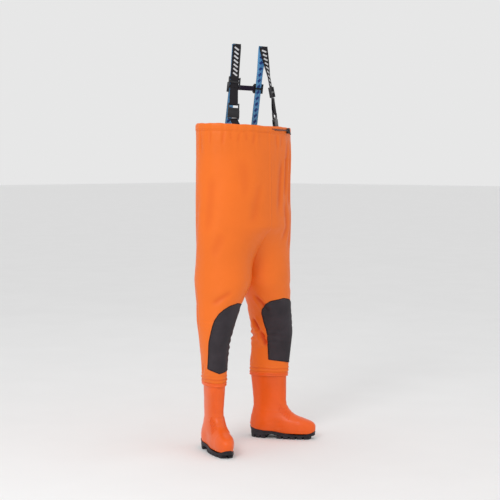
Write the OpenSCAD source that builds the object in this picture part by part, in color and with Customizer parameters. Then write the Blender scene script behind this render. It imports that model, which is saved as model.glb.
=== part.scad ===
// Chest waders: a coated-fabric bib with two legs welded to rubber boots, held up by
// two elastic braces.  Heights are measured from the ground under the boots, and
// hang() lowers every piece so that the origin lies at the wearer's shoulders.
// The wearer faces -Y, and the wearer's left side is +X.

/* [Bib] */
// Height of the top edge of the bib above the ground
rim_h = 1465; // [1440:1:1480]
// Half of the bib's width at the rim
rim_half_width = 265; // [250:1:280]
// Half of the bib's depth at the rim
rim_half_depth = 163; // [150:1:170]
// Height of the folded hem that holds the drawcord
hem_h = 28; // [24:1:34]
// Height where the body panels meet the seat panels
seat_top_h = 840; // [835:1:850]
// Thickness of the coated fabric with its folds
fabric_t = 3; // [2:0.5:4]

/* [Legs] */
// Height where the seat panels meet the thighs
thigh_top_h = 665; // [655:1:670]
// Height where the thighs meet the knee panels
knee_top_h = 580; // [575:1:590]
// Height of the knee's bend
knee_h = 500; // [490:1:510]
// Height where the knee panels meet the shins
knee_bottom_h = 420; // [410:1:425]
// Height of the lower edge of the shin panels, over the boot's shaft
shin_bottom_h = 297; // [295:1:300]
// How far each foot turns out
toe_out = 28; // [20:1:32]

/* [Boots] */
// Height of the top of the boot's shaft
boot_top_h = 306; // [302:1:312]
// Overall thickness of the outsole
outsole_t = 28; // [24:1:30]
// Depth of the grooves between the cleats
cleat_h = 12; // [8:1:14]
// Thickness of the boot's wall
boot_wall_t = 4; // [3:0.5:5]

/* [Braces] */
// Height of the wearer's shoulders, under the folds of the braces
shoulder_h = 1836; // [1800:1:1860]
// Width of the webbing
webbing_w = 40; // [38:1:40]
// Thickness of the webbing
webbing_t = 2; // [1.5:0.25:2.5]
// Height of the right slider's middle
right_slider_h = 1663; // [1655:1:1670]
// How much lower the left slider and buckle sit than the right ones
left_drop = 35; // [20:1:36]
// Height of the cross strap's middle
cross_strap_h = 1645; // [1630:1:1660]

/* [Drawcord] */
// Diameter of the drawcord
drawcord_d = 3; // [2.6:0.2:3.2]

/* [Rim] */
// How much higher the rim hangs at the wearer's right side
rim_lift_max = 15; // [0:1:18]

/* [Hidden] */

orange = [0.93, 0.38, 0.14];
charcoal = [0.22, 0.2, 0.22];
rubber_black = [0.07, 0.07, 0.07];
webbing_black = [0.1, 0.1, 0.11];
steel = [0.7, 0.71, 0.73];

rim_lift_from_h = 1300;
panel_steps = 16;
leg_sides = 28;
hem_sides = 48;
gap = 0.5;
seat_centre_x = 130;
seat_inner_x = 1;
hem_wall_t = 1.5;
hem_depth = 8.5;
hem_bottom_h = rim_h - hem_h;
boot_sides = 28;
bar_r = 2.5;
buckle_w = 52;
plug_bar_z = 68;
right_socket_h = 1497;
left_socket_h = right_socket_h - left_drop;
left_slider_h = right_slider_h - left_drop;
slider_half_h = 24;
patch_t = 1.5;

// ---- Helpers ----

function unit(v) = v / norm(v);
function mix(a, b, t) = a + (b - a) * t;
function reversed(list) = [for (i = [len(list) - 1:-1:0]) list[i]];
function signed_power(v, p) = sign(v) * pow(abs(v), p);

// Two triangles for each quad between neighbouring rings i and next_i.
function band_faces(i, next_i, n) = [
    for (j = [0:n - 1]) let (k = (j + 1) % n) each [
        [i * n + j, next_i * n + j, next_i * n + k],
        [i * n + j, next_i * n + k, i * n + k]
    ]
];

// A closed solid through a list of rings, capped at both ends.
module skin(rings) {
    n = len(rings[0]);
    last = len(rings) - 1;
    sides = [for (i = [0:last - 1]) each band_faces(i, i + 1, n)];
    caps = [[for (j = [0:n - 1]) j], [for (j = [n - 1:-1:0]) last * n + j]];
    polyhedron(points = [for (r = rings) each r], faces = concat(sides, caps));
}

// The same for rings that double back on themselves, as a row and its return.
module skin_strip(rings) {
    n = len(rings[0]);
    last = len(rings) - 1;
    sides = [for (i = [0:last - 1]) each band_faces(i, i + 1, n)];
    caps = [for (j = [0:n / 2 - 2]) each [
        [j, j + 1, n - 2 - j], [j, n - 2 - j, n - 1 - j],
        [last * n + j, last * n + n - 1 - j, last * n + n - 2 - j],
        [last * n + j, last * n + n - 2 - j, last * n + j + 1]
    ]];
    polyhedron(points = [for (r = rings) each r], faces = concat(sides, caps));
}

// An open tube with a wall: outer rings going up, inner rings coming down.
module tube_wall(outer, inner) {
    rings = concat(outer, reversed(inner));
    n = len(rings[0]);
    m = len(rings);
    faces = [for (i = [0:m - 1]) each band_faces(i, (i + 1) % m, n)];
    polyhedron(points = [for (r = rings) each r], faces = faces);
}

// Lowers a piece from ground heights into the frame of the wearer's shoulders.
module hang() {
    translate([0, 0, -shoulder_h]) children();
}

module mirrored_to_right() {
    mirror([1, 0, 0]) children();
}

// Places children with Z along up, and X turned by angle about the vertical.
module at_frame(p, up, angle) {
    z = unit(up);
    flat = [cos(angle), sin(angle), 0];
    x = unit(flat - z * (flat * z));
    y = cross(z, x);
    multmatrix([[x.x, y.x, z.x, p.x], [x.y, y.y, z.y, p.y], [x.z, y.z, z.z, p.z]]) children();
}

// ---- Sweeps along a route ----

function route_tangent(route, i) = let (
    before = route[max(i - 1, 0)],
    after = route[min(i + 1, len(route) - 1)]
) unit([after.x - before.x, after.y - before.y, after.z - before.z]);

// One ring of flat webbing: route points are [x, y, z, angle of the width].
function webbing_ring(route, i, w, t) = let (
    along = route_tangent(route, i),
    flat = [cos(route[i][3]), sin(route[i][3]), 0],
    across = unit(flat - along * (flat * along)) * w / 2,
    face = unit(cross(along, across)) * t / 2,
    p = [route[i].x, route[i].y, route[i].z]
) [p + across + face, p - across + face, p - across - face, p + across - face];

module webbing(route, w, t) {
    skin([for (i = [0:len(route) - 1]) webbing_ring(route, i, w, t)]);
}

function cord_ring(route, i, d, sides) = let (
    along = route_tangent(route, i),
    level = unit(cross([0, 0, 1], along)),
    lifted = cross(along, level)
) [for (k = [0:sides - 1]) let (a = k * 360 / sides)
    route[i] + (level * cos(a) + lifted * sin(a)) * d / 2];

module cord(route, d) {
    skin([for (i = [0:len(route) - 1]) cord_ring(route, i, d, 8)]);
}

// ---- The bib's oval ----

function bib_half_width(h) = lookup(h, [
    [seat_top_h, rim_half_width - 5],
    [950, rim_half_width - 3],
    [1300, rim_half_width - 3],
    [rim_h, rim_half_width]
]);
function bib_half_depth(h) = lookup(h, [
    [seat_top_h, rim_half_depth - 3],
    [950, rim_half_depth + 7],
    [1300, rim_half_depth + 2],
    [rim_h, rim_half_depth]
]);
// The rim hangs a little higher at the wearer's right side.
function rim_lift(angle, h) = let (
    upper = max(0, h - rim_lift_from_h) / (rim_h - rim_lift_from_h)
) rim_lift_max * upper * pow((1 - cos(angle)) / 2, 2);
function bib_point(angle, h, inset) = [
    (bib_half_width(h) - inset) * cos(angle),
    (bib_half_depth(h) - inset) * sin(angle),
    h + rim_lift(angle, h)
];

// A strip of the bib's wall between two angles, from one inset to a deeper one.
function strip_ring(from, to, h, outer_inset, inner_inset, steps) = concat(
    [for (i = [0:steps]) bib_point(mix(from, to, i / steps), h, outer_inset)],
    [for (i = [steps:-1:0]) bib_point(mix(from, to, i / steps), h, inner_inset)]
);

module bib_strip(from, to, heights, outer_inset, inner_inset, steps) {
    skin_strip([for (h = heights) strip_ring(from, to, h, outer_inset, inner_inset, steps)]);
}

module body_panel(from) {
    heights = [seat_top_h, 950, 1130, rim_lift_from_h, hem_bottom_h];
    bib_strip(from, from + 180, heights, 0, fabric_t, panel_steps);
}

function hem_ring(h, inset) = [
    for (i = [0:hem_sides - 1]) bib_point(i * 360 / hem_sides, h, inset)
];

// The hem is a strip folded over: an outer wall, a top and an inner wall.
module hem_wall() {
    top_inside = rim_h - hem_wall_t;
    rings = [
        hem_ring(hem_bottom_h, 0), hem_ring(rim_h, 0),
        hem_ring(rim_h, hem_depth), hem_ring(hem_bottom_h, hem_depth),
        hem_ring(hem_bottom_h, hem_depth - hem_wall_t), hem_ring(top_inside, hem_depth - hem_wall_t),
        hem_ring(top_inside, hem_wall_t), hem_ring(hem_bottom_h, hem_wall_t)
    ];
    m = len(rings);
    faces = [for (i = [0:m - 1]) each band_faces(i, (i + 1) % m, hem_sides)];
    polyhedron(points = [for (r = rings) each r], faces = faces);
}

// ---- The left leg's ovals ----

function leg_x(h) = lookup(h, [[shin_bottom_h, 185], [knee_h, 195], [knee_top_h, 184], [thigh_top_h, 164]]);
function leg_y(h) = lookup(h, [[shin_bottom_h, 13], [knee_h, 0]]);
function leg_half_width(h) = lookup(h, [
    [shin_bottom_h, 49], [knee_bottom_h, 57], [knee_h, 66], [knee_top_h, 82], [thigh_top_h, 99]
]);
function leg_half_length(h) = lookup(h, [
    [shin_bottom_h, 91], [knee_bottom_h, 94], [knee_h, 97], [thigh_top_h, 106]
]);
function leg_turn(h) = lookup(h, [[knee_h, toe_out], [thigh_top_h, toe_out / 2]]) - 90;

function leg_point(angle, h, inset) = let (
    turn = leg_turn(h),
    l = (leg_half_length(h) - inset) * cos(angle - turn),
    w = (leg_half_width(h) - inset) * sin(angle - turn)
) [leg_x(h) + l * cos(turn) - w * sin(turn), leg_y(h) + l * sin(turn) + w * cos(turn), h];

function leg_ring(h, inset) = [
    for (j = [0:leg_sides - 1]) leg_point(j * 360 / leg_sides, h, inset)
];

module leg_tube(heights) {
    tube_wall([for (h = heights) leg_ring(h, 0)], [for (h = heights) leg_ring(h, fabric_t)]);
}

// Half of the bib's oval with a flat inner side, as seen along a ray from the seat's centre.
function seat_reach(angle, h, inset) = let (
    a = bib_half_width(h) - inset,
    b = bib_half_depth(h) - inset,
    ux = cos(angle),
    uy = sin(angle),
    qa = ux * ux / (a * a) + uy * uy / (b * b),
    qb = 2 * seat_centre_x * ux / (a * a),
    qc = seat_centre_x * seat_centre_x / (a * a) - 1,
    oval = (-qb + sqrt(qb * qb - 4 * qa * qc)) / (2 * qa),
    inner = ux < -0.01 ? (seat_centre_x - seat_inner_x - inset) / -ux : oval
) min(oval, inner);

function seat_ring(h, inset) = let (
    s = pow((seat_top_h - h) / (seat_top_h - thigh_top_h), 1.55)
) [
    for (j = [0:leg_sides - 1]) let (
        angle = j * 360 / leg_sides,
        reach = seat_reach(angle, seat_top_h, inset),
        top = [seat_centre_x + reach * cos(angle), reach * sin(angle), h],
        low = leg_point(angle, thigh_top_h, inset)
    ) mix(top, [low.x, low.y, h], s)
];

module seat_panel() {
    heights = [thigh_top_h + gap, 700, 740, 780, 810, seat_top_h - gap];
    tube_wall([for (h = heights) seat_ring(h, 0)], [for (h = heights) seat_ring(h, fabric_t)]);
}

module thigh_panel() {
    leg_tube([knee_top_h, 620, thigh_top_h]);
}

module knee_panel() {
    leg_tube([knee_bottom_h + gap, 460, knee_h, 540, knee_top_h - gap]);
}

module shin_panel() {
    leg_tube([shin_bottom_h, 360, knee_bottom_h]);
}

// The padded patch over the knee, pointed at its lower edge: how far its two edges lie
// from the toes' direction, the wearer's middle negative.
function patch_inner(h) = lookup(h, [
    [361, -4], [379, -86], [450, -91], [560, -95], [600, -93], [622, -86], [645, -74], [662, -52]
]);
function patch_outer(h) = lookup(h, [
    [361, 10], [379, 58], [450, 50], [570, 40], [600, 37], [630, 29], [650, 18], [662, 4]
]);
patch_lift = 1.8;
patch_depth = 2.2;

function patch_row(h, inset) = let (steps = 14) [
    for (i = [0:steps])
        leg_point(leg_turn(h) + mix(patch_inner(h), patch_outer(h), i / steps), h, inset)
];

function patch_ring(h) =
    concat(patch_row(h, -patch_lift - patch_depth), reversed(patch_row(h, -patch_lift)));

module knee_patch() {
    skin([
        for (h = [361, 363, 365, 367, 369, 371, 373, 375, 377, 379, 400, 420, 460, 500, 540, 580, 600, 611,
            622, 634, 645, 654, 662]) patch_ring(h)
    ]);
}

module boot_seam_band() {
    heights = [shin_bottom_h + 2, shin_bottom_h + 16];
    tube_wall(
        [for (h = heights) leg_ring(h, -gap - 3)],
        [for (h = heights) leg_ring(h, -gap)]
    );
}

// ---- The left boot ----

function boot_x(h) = lookup(h, [[190, 190], [boot_top_h, 185]]);
function boot_y(h) = lookup(h, [[190, 11], [boot_top_h, 13]]);
function boot_front(h) = lookup(h, [
    [28, 217], [45, 222], [65, 221], [78, 211], [88, 188], [100, 150], [112, 122], [130, 100], [155, 84],
    [180, 79], [306, 84]
]);
function boot_back(h) = lookup(h, [[28, 85], [45, 91], [70, 93], [100, 89], [150, 78], [180, 79], [306, 84]]);
function boot_half_width(h) = lookup(h, [
    [28, 48], [45, 52], [65, 52], [85, 49], [100, 45], [120, 41], [150, 37], [180, 37], [306, 41.5]
]);

// A foot's outline: a long half in front of the ankle and a short half behind it.
function foot_point(angle, front, back, half_width) = let (
    u = signed_power(cos(angle), 0.9),
    v = signed_power(sin(angle), 0.85)
) [(u > 0 ? front : back) * u, half_width * v * (1 + 0.06 * u)];

function foot_outline(front, back, half_width, sides) = [
    for (j = [0:sides - 1]) foot_point(j * 360 / sides, front, back, half_width)
];

function boot_ring(h, inset) = let (turn = toe_out - 90) [
    for (p = foot_outline(boot_front(h) - inset, boot_back(h) - inset, boot_half_width(h) - inset, boot_sides))
        [boot_x(h) + p.x * cos(turn) - p.y * sin(turn), boot_y(h) + p.x * sin(turn) + p.y * cos(turn), h]
];

boot_heights = [outsole_t, 45, 65, 78, 88, 100, 112, 130, 155, 180, 240, boot_top_h];

module boot_upper() {
    outer = [for (h = boot_heights) boot_ring(h, 0)];
    floor_h = outsole_t + boot_wall_t;
    inner_heights = concat([floor_h], [for (i = [1:len(boot_heights) - 1]) boot_heights[i]]);
    inner = [for (h = inner_heights) boot_ring(h, boot_wall_t)];
    skin(concat(outer, reversed(inner)));
}

// Puts a piece drawn around the ankle, toes along +X, onto the left foot.
module on_foot() {
    translate([190, 11, 0]) rotate([0, 0, toe_out - 90]) children();
}

module outsole() {
    heel_cleats = [-87, -59, -31];
    toe_cleats = [52, 84, 116, 148, 180];
    on_foot() {
        translate([0, 0, cleat_h])
            linear_extrude(outsole_t - cleat_h) polygon(foot_outline(223, 90, 53, 40));
        intersection() {
            linear_extrude(cleat_h) polygon(foot_outline(221, 88, 51, 40));
            union() {
                for (x = heel_cleats) translate([x, -70, 0]) cube([21, 140, cleat_h]);
                for (x = toe_cleats) translate([x, -70, 0]) cube([22, 140, cleat_h]);
            }
        }
    }
}

module insole() {
    floor_h = outsole_t + boot_wall_t;
    on_foot()
        translate([0, 0, floor_h]) linear_extrude(4) polygon(foot_outline(210, 78, 43, 40));
}

module foot_form(inset) {
    heights = [outsole_t + boot_wall_t + 6, 45, 65, 78, 88, 100, 112];
    skin([for (h = heights) boot_ring(h, inset)]);
}

// The protective cap inside the toe.
module toe_cap() {
    intersection() {
        difference() {
            foot_form(boot_wall_t + 0.6);
            foot_form(boot_wall_t + 2.6);
        }
        on_foot() translate([150, -80, 39]) cube([100, 160, 90]);
    }
}

// ---- The braces ----

fold_half = 2.6;
fold_start_h = 1826;
front_twist_h = 1700;
rear_twist_h = 1725;
fold_p = [89, -38, shoulder_h + 1];

// The lower front run, from the slider down into the bib, as distances from the middle.
function low_x(h) = 127 + 0.088 * (1640 - h);
function low_y(h) = -59 - 0.055 * (1640 - h);
low_up = [-0.088, 0.055, 1];

// The upper front run, from the fold to the slider's lower edge.
function kink_h(slider_h) = slider_h - slider_half_h - 1;
function kink(slider_h) = [low_x(kink_h(slider_h)), low_y(kink_h(slider_h)), kink_h(slider_h)];
fold_front = [fold_p.x, fold_p.y - fold_half, fold_start_h];
function upper_up(slider_h) = let (v = fold_front - kink(slider_h)) v / v.z;
function upper_p(slider_h, h) = kink(slider_h) + upper_up(slider_h) * (h - kink_h(slider_h));

// The rear run, from the fold down to the rim.
function rear_y(h) = -37 + 0.15 * (shoulder_h - h);
rear_x = 87.5;
rear_up = [0, -0.15, 1];

// The webbing from the slider, over the shoulder and down inside the back of the bib.
function brace_route(side, slider_h, front_angle, fold_angle, wall_angle) = concat(
    [for (h = [kink_h(slider_h), front_twist_h]) let (p = upper_p(slider_h, h))
        [side * p.x, p.y, h, front_angle]],
    [for (t = [0.25:0.25:1]) let (h = mix(front_twist_h, fold_start_h, t), p = upper_p(slider_h, h))
        [side * p.x, p.y, h, mix(front_angle, fold_angle, t)]],
    [[side * fold_p.x, fold_p.y - 2.2, fold_p.z - 2, fold_angle],
     [side * fold_p.x, fold_p.y, fold_p.z, fold_angle],
     [side * fold_p.x, fold_p.y + 2.2, fold_p.z - 2, fold_angle]],
    [for (t = [0:0.25:1]) let (h = mix(fold_start_h, rear_twist_h, t))
        [side * rear_x, rear_y(h), h, mix(fold_angle, 0, t)]],
    [[side * rear_x, rear_y(1480), 1480, 0]],
    [[side * 90, 36, 1440, 0], [side * 93, 70, 1395, wall_angle / 2], [side * 95, 111, 1360, wall_angle],
     [side * 96, 137, 1330, wall_angle], [side * 96, 143.8, 1305, wall_angle],
     [side * 96, 145.2, 1285, wall_angle], [side * 96, 145.2, 1265, wall_angle]]
);

module brace(side, slider_h, front_angle, fold_angle, wall_angle) {
    route = brace_route(side, slider_h, front_angle, fold_angle, wall_angle);
    webbing(route, webbing_w, webbing_t);
}

// Children stand on the lower front run, at a height above the ground.
module on_low_run(side, h, angle) {
    up = [side * low_up.x, low_up.y, low_up.z];
    at_frame([side * low_x(h), low_y(h), h], up, angle) children();
}

// The doubled end of the webbing, around the plug's bar.
module adjuster_loop(side, slider_h, socket_h, angle) {
    reach = bar_r + 0.5 + webbing_t / 2;
    top = (slider_h - slider_half_h - 2 - socket_h) * norm(low_up) - plug_bar_z;
    route = concat(
        [[0, 1.2, top, 0], [0, 1.6, top * 0.7, 0], [0, reach, 6, 0], [0, reach, 0, 0]],
        [for (a = [30:30:150]) [0, reach * cos(a), -reach * sin(a), 0]],
        [[0, -reach, 0, 0], [0, -reach, 6, 0], [0, -1.6, top * 0.7, 0], [0, -1.2, top, 0]]
    );
    on_low_run(side, socket_h, angle)
        translate([0, 0, plug_bar_z]) webbing(route, webbing_w - 2, webbing_t);
}

// A webbing slider: side rails, a bar in front of the webbing and two bars behind it.
module glide(w, h, depth, bar) {
    for (s = [-1, 1]) translate([s * (w / 2 - 2) - 2, -depth / 2, -h / 2]) cube([4, depth, h]);
    translate([-w / 2 + 2, -depth / 2, -bar / 2]) cube([w - 4, 3, bar]);
    for (s = [-1, 1])
        translate([-w / 2 + 2, depth / 2 - 3, s * (h / 2 - bar / 2) - bar / 2]) cube([w - 4, 3, bar]);
}

module slider(side, slider_h, angle) {
    p = upper_p(slider_h, slider_h);
    up = upper_up(slider_h);
    at_frame([side * p.x, p.y, p.z], [side * up.x, up.y, up.z], angle)
        glide(54, 2 * slider_half_h, 12, 9);
}

// The plug's prongs reach down into the socket, and its bar takes the webbing.
module buckle_plug(side, socket_h, angle) {
    bar_z = plug_bar_z;
    on_low_run(side, socket_h, angle) {
        translate([-buckle_w / 2, 0, bar_z]) rotate([0, 90, 0]) cylinder(h = buckle_w, r = bar_r, $fn = 32);
        for (s = [-1, 1]) translate([s * (buckle_w / 2 - 2) - 2, -4, 42]) cube([4, 8, bar_z - 38]);
        translate([-buckle_w / 2, -4, 42]) cube([buckle_w, 8, 10]);
        for (s = [-1, 1]) translate([s * 15 - 4, -2.5, 14]) cube([8, 5, 29]);
        translate([-3, -1.5, 18]) cube([6, 3, 25]);
    }
}

module buckle_socket(side, socket_h, angle) {
    on_low_run(side, socket_h, angle) {
        difference() {
            translate([-buckle_w / 2, -6, 8]) cube([buckle_w, 12, 33.5]);
            translate([-21, -3.5, 12]) cube([42, 7, 40]);
            for (s = [-1, 1]) translate([s * 26 - 8, -3.5, 16]) cube([16, 7, 14]);
        }
        translate([-buckle_w / 2, 0, 2.5]) rotate([0, 90, 0]) cylinder(h = buckle_w, r = bar_r, $fn = 32);
        for (s = [-1, 1]) translate([s * (buckle_w / 2 - 1.5) - 1.5, -2.5, 2]) cube([3, 5, 7]);
    }
}

// The webbing tab between the socket's bar and the patch inside the bib's front.
module front_tab(side, socket_h, angle) {
    bar = [side * low_x(socket_h + 2.5), low_y(socket_h + 2.5), socket_h + 2.5];
    reach = bar_r + 0.6 + webbing_t / 2;
    low_h = 1412 - (right_socket_h - socket_h) / 2;
    wall_y = -128.2;
    route = [
        [bar.x, bar.y - 4, bar.z + 3, angle], [bar.x, bar.y - reach, bar.z - 1, angle],
        [bar.x, bar.y - 2, bar.z - reach, angle],
        [mix(bar.x, side * 143, 0.5), mix(bar.y, wall_y, 0.5), mix(bar.z, low_h, 0.5), angle],
        [side * 143, wall_y + 3, low_h, angle], [side * 143, wall_y, low_h - 14, angle],
        [side * 143, wall_y, low_h - 50, angle]
    ];
    webbing(route, webbing_w - 2, webbing_t);
}

// Welded patches on the inside of the bib, under the ends of the tabs and braces.
module front_patch() {
    bib_strip(-67.5, -45, [1340, 1382, 1425], fabric_t + 0.2, fabric_t + 0.2 + patch_t, 2);
}

module back_patch() {
    bib_strip(56.25, 78.75, [1250, 1275, 1300, 1325], fabric_t + 0.2, fabric_t + 0.2 + patch_t, 2);
}

// ---- The strap between the braces ----

post_x = 54;
strap_layer = 1.6;

module on_rear_runs() {
    at_frame([0, rear_y(cross_strap_h), cross_strap_h], [0, rear_up.y, rear_up.z], 0) children();
}

// An endless band around the posts of both loops.
module cross_strap_band() {
    outer_r = 5.2;
    inner_r = outer_r - strap_layer;
    on_rear_runs() translate([0, 0, -11]) linear_extrude(22) difference() {
        union() {
            translate([-post_x, -outer_r]) square([2 * post_x, 2 * outer_r]);
            for (s = [-1, 1]) translate([s * post_x, 0]) circle(r = outer_r, $fn = 40);
        }
        translate([-post_x, -inner_r]) square([2 * post_x, 2 * inner_r]);
        for (s = [-1, 1]) translate([s * post_x, 0]) circle(r = inner_r, $fn = 40);
    }
}

// A plastic loop that slides on a brace and holds one end of the cross strap.
module cross_loop(side) {
    on_rear_runs() {
        translate([side * rear_x, 0, 0]) glide(54, 44, 12, 8);
        translate([side * post_x, 0, -16]) cylinder(h = 32, r = 2.6, $fn = 32);
        for (s = [-1, 1])
            translate([min(side * (post_x - 2), side * 66), -2.6, s * 14.5 - 2]) cube([12, 5.2, 4]);
    }
}

// ---- The drawcord and its lock ----

cord_h = 1450;
cord_spread = 1.7;
upper_exit_angle = -87;
lower_exit_angle = -83;
tunnel_inset = 4.2;
lock_angle = -59;
lock_inset = -8.8;
lock_half = 9;
lock_mid = bib_point(lock_angle, cord_h, lock_inset);
lock_side = unit([
    -(bib_half_width(cord_h) - lock_inset) * sin(lock_angle),
    (bib_half_depth(cord_h) - lock_inset) * cos(lock_angle),
    0
]);
outer_stretch = [[-64, -9.2], [-68, -8], [-72, -6.3], [-76, -5], [-80, -4.3]];

// From the lock along the outside of the hem towards an eyelet, at one height.
function outside_run(h) = concat(
    [lock_mid + lock_side * lock_half + [0, 0, h - cord_h], lock_mid + [0, 0, h - cord_h],
     lock_mid - lock_side * 11 + [0, 0, h - cord_h]],
    [for (p = outer_stretch) bib_point(p[0], h, p[1])]
);

upper_h = cord_h + cord_spread;
lower_h = cord_h - cord_spread;
drawcord_route = concat(
    outside_run(upper_h),
    [bib_point(-84.5, upper_h, -3.8), bib_point(upper_exit_angle + 0.7, upper_h, -2.4),
     bib_point(upper_exit_angle - 0.2, upper_h, 1), bib_point(upper_exit_angle - 1.6, upper_h, 3.6)],
    [for (i = [1:46]) bib_point(-90 - 7.5 * i, cord_h, tunnel_inset)],
    [bib_point(lower_exit_angle - 361.6, lower_h, 3.6), bib_point(lower_exit_angle - 360.2, lower_h, 1),
     bib_point(lower_exit_angle - 359.1, lower_h, -2.4)],
    reversed(outside_run(lower_h))
);

module drawcord_run() {
    cord(drawcord_route, drawcord_d);
}

// The two ends beyond the lock, [angle, inset, drop], down to the knot.
tail_run = [[-54.4, -8.2, 1], [-51.5, -6.8, 5], [-49.2, -5.8, 10]];
knot_p = bib_point(-47.6, cord_h - 15, -5.4);

module tail(spread) {
    start = lock_mid + lock_side * lock_half + [0, 0, spread];
    middle = [for (p = tail_run) bib_point(p[0], cord_h - p[2] + spread, p[1])];
    end = knot_p + unit(middle[2] - knot_p) * 3.4 + [0, 0, spread];
    cord(concat([start], middle, [end]), drawcord_d);
}

module on_lock() {
    at_frame(lock_mid, [0, 0, 1], atan2(lock_side.y, lock_side.x)) children();
}

lock_cavity_r = 6;

module lock_body() {
    on_lock() difference() {
        translate([0, 0, -14]) cylinder(h = 21, r = 8, $fn = 48);
        translate([0, 0, -12]) cylinder(h = 30, r = lock_cavity_r, $fn = 48);
        translate([-10, -2.3, -3.7]) cube([20, 4.6, 7.4]);
    }
}

module lock_button() {
    on_lock() difference() {
        translate([0, 0, -5.5]) cylinder(h = 16.5, r = lock_cavity_r - 0.3, $fn = 48);
        translate([-10, -2.3, -3.7]) cube([20, 4.6, 10.4]);
    }
}

module lock_spring() {
    on_lock() translate([0, 0, -12]) difference() {
        cylinder(h = 6.4, r = 4.6, $fn = 32);
        translate([0, 0, -1]) cylinder(h = 9, r = 3.8, $fn = 32);
    }
}

module eyelet_ring(angle, h) {
    normal = unit([
        cos(angle) / bib_half_width(h), sin(angle) / bib_half_depth(h), 0
    ]);
    p = bib_point(angle, h, 0);
    at_frame(p + normal * 0.3, normal, angle + 90) difference() {
        cylinder(h = 1.2, r = 4.2, $fn = 32);
        translate([0, 0, -1]) cylinder(h = 4, r = 2.4, $fn = 32);
    }
}

// ---- The named pieces ----

right_front_angle = -25;
left_front_angle = 25;
fold_angle = -28;
wall_lean = 13;

module right_body_panel() { color(orange) hang() body_panel(90); }
module left_body_panel() { color(orange) hang() body_panel(-90); }
module hem_band() { color(orange) hang() hem_wall(); }
module right_seat_panel() { color(orange) hang() mirrored_to_right() seat_panel(); }
module left_seat_panel() { color(orange) hang() seat_panel(); }
module right_thigh_panel() { color(orange) hang() mirrored_to_right() thigh_panel(); }
module left_thigh_panel() { color(orange) hang() thigh_panel(); }
module right_knee_panel() { color(orange) hang() mirrored_to_right() knee_panel(); }
module left_knee_panel() { color(orange) hang() knee_panel(); }
module right_shin_panel() { color(orange) hang() mirrored_to_right() shin_panel(); }
module left_shin_panel() { color(orange) hang() shin_panel(); }
module right_knee_patch() { color(charcoal) hang() mirrored_to_right() knee_patch(); }
module left_knee_patch() { color(charcoal) hang() knee_patch(); }
module right_boot_seam_band() { color(orange) hang() mirrored_to_right() boot_seam_band(); }
module left_boot_seam_band() { color(orange) hang() boot_seam_band(); }
module right_boot_upper() { color(orange) hang() mirrored_to_right() boot_upper(); }
module left_boot_upper() { color(orange) hang() boot_upper(); }
module right_outsole() { color(rubber_black) hang() mirrored_to_right() outsole(); }
module left_outsole() { color(rubber_black) hang() outsole(); }
module right_insole() { color(charcoal) hang() mirrored_to_right() insole(); }
module left_insole() { color(charcoal) hang() insole(); }
module right_toe_cap() { color(steel) hang() mirrored_to_right() toe_cap(); }
module left_toe_cap() { color(steel) hang() toe_cap(); }

module right_brace() {
    color(webbing_black) hang() brace(-1, right_slider_h, right_front_angle, fold_angle, wall_lean);
}
module left_brace() {
    color(webbing_black) hang() brace(1, left_slider_h, left_front_angle, fold_angle, -wall_lean);
}
module right_adjuster_loop() {
    color(webbing_black) hang() adjuster_loop(-1, right_slider_h, right_socket_h, right_front_angle);
}
module left_adjuster_loop() {
    color(webbing_black) hang() adjuster_loop(1, left_slider_h, left_socket_h, left_front_angle);
}
module right_slider() { color(rubber_black) hang() slider(-1, right_slider_h, right_front_angle); }
module left_slider() { color(rubber_black) hang() slider(1, left_slider_h, left_front_angle); }
module right_buckle_plug() { color(rubber_black) hang() buckle_plug(-1, right_socket_h, right_front_angle); }
module left_buckle_plug() { color(rubber_black) hang() buckle_plug(1, left_socket_h, left_front_angle); }
module right_buckle_socket() {
    color(rubber_black) hang() buckle_socket(-1, right_socket_h, right_front_angle);
}
module left_buckle_socket() {
    color(rubber_black) hang() buckle_socket(1, left_socket_h, left_front_angle);
}
module right_front_tab() {
    color(webbing_black) hang() front_tab(-1, right_socket_h, right_front_angle);
}
module left_front_tab() { color(webbing_black) hang() front_tab(1, left_socket_h, left_front_angle); }
module right_front_patch() { color(orange) hang() mirrored_to_right() front_patch(); }
module left_front_patch() { color(orange) hang() front_patch(); }
module right_back_patch() { color(orange) hang() mirrored_to_right() back_patch(); }
module left_back_patch() { color(orange) hang() back_patch(); }

module cross_strap() { color(webbing_black) hang() cross_strap_band(); }
module right_cross_loop() { color(rubber_black) hang() cross_loop(-1); }
module left_cross_loop() { color(rubber_black) hang() cross_loop(1); }

module eyelets() {
    color(steel) hang() {
        eyelet_ring(upper_exit_angle, upper_h);
        eyelet_ring(lower_exit_angle, lower_h);
    }
}
module drawcord() { color(rubber_black) hang() drawcord_run(); }
module drawcord_tails() {
    color(rubber_black) hang() for (s = [-1, 1]) tail(s * cord_spread);
}
module drawcord_knot() { color(rubber_black) hang() translate(knot_p) sphere(r = 3.6, $fn = 24); }
module cord_lock_body() { color(rubber_black) hang() lock_body(); }
module cord_lock_button() { color(rubber_black) hang() lock_button(); }
module cord_lock_spring() { color(steel) hang() lock_spring(); }

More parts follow.
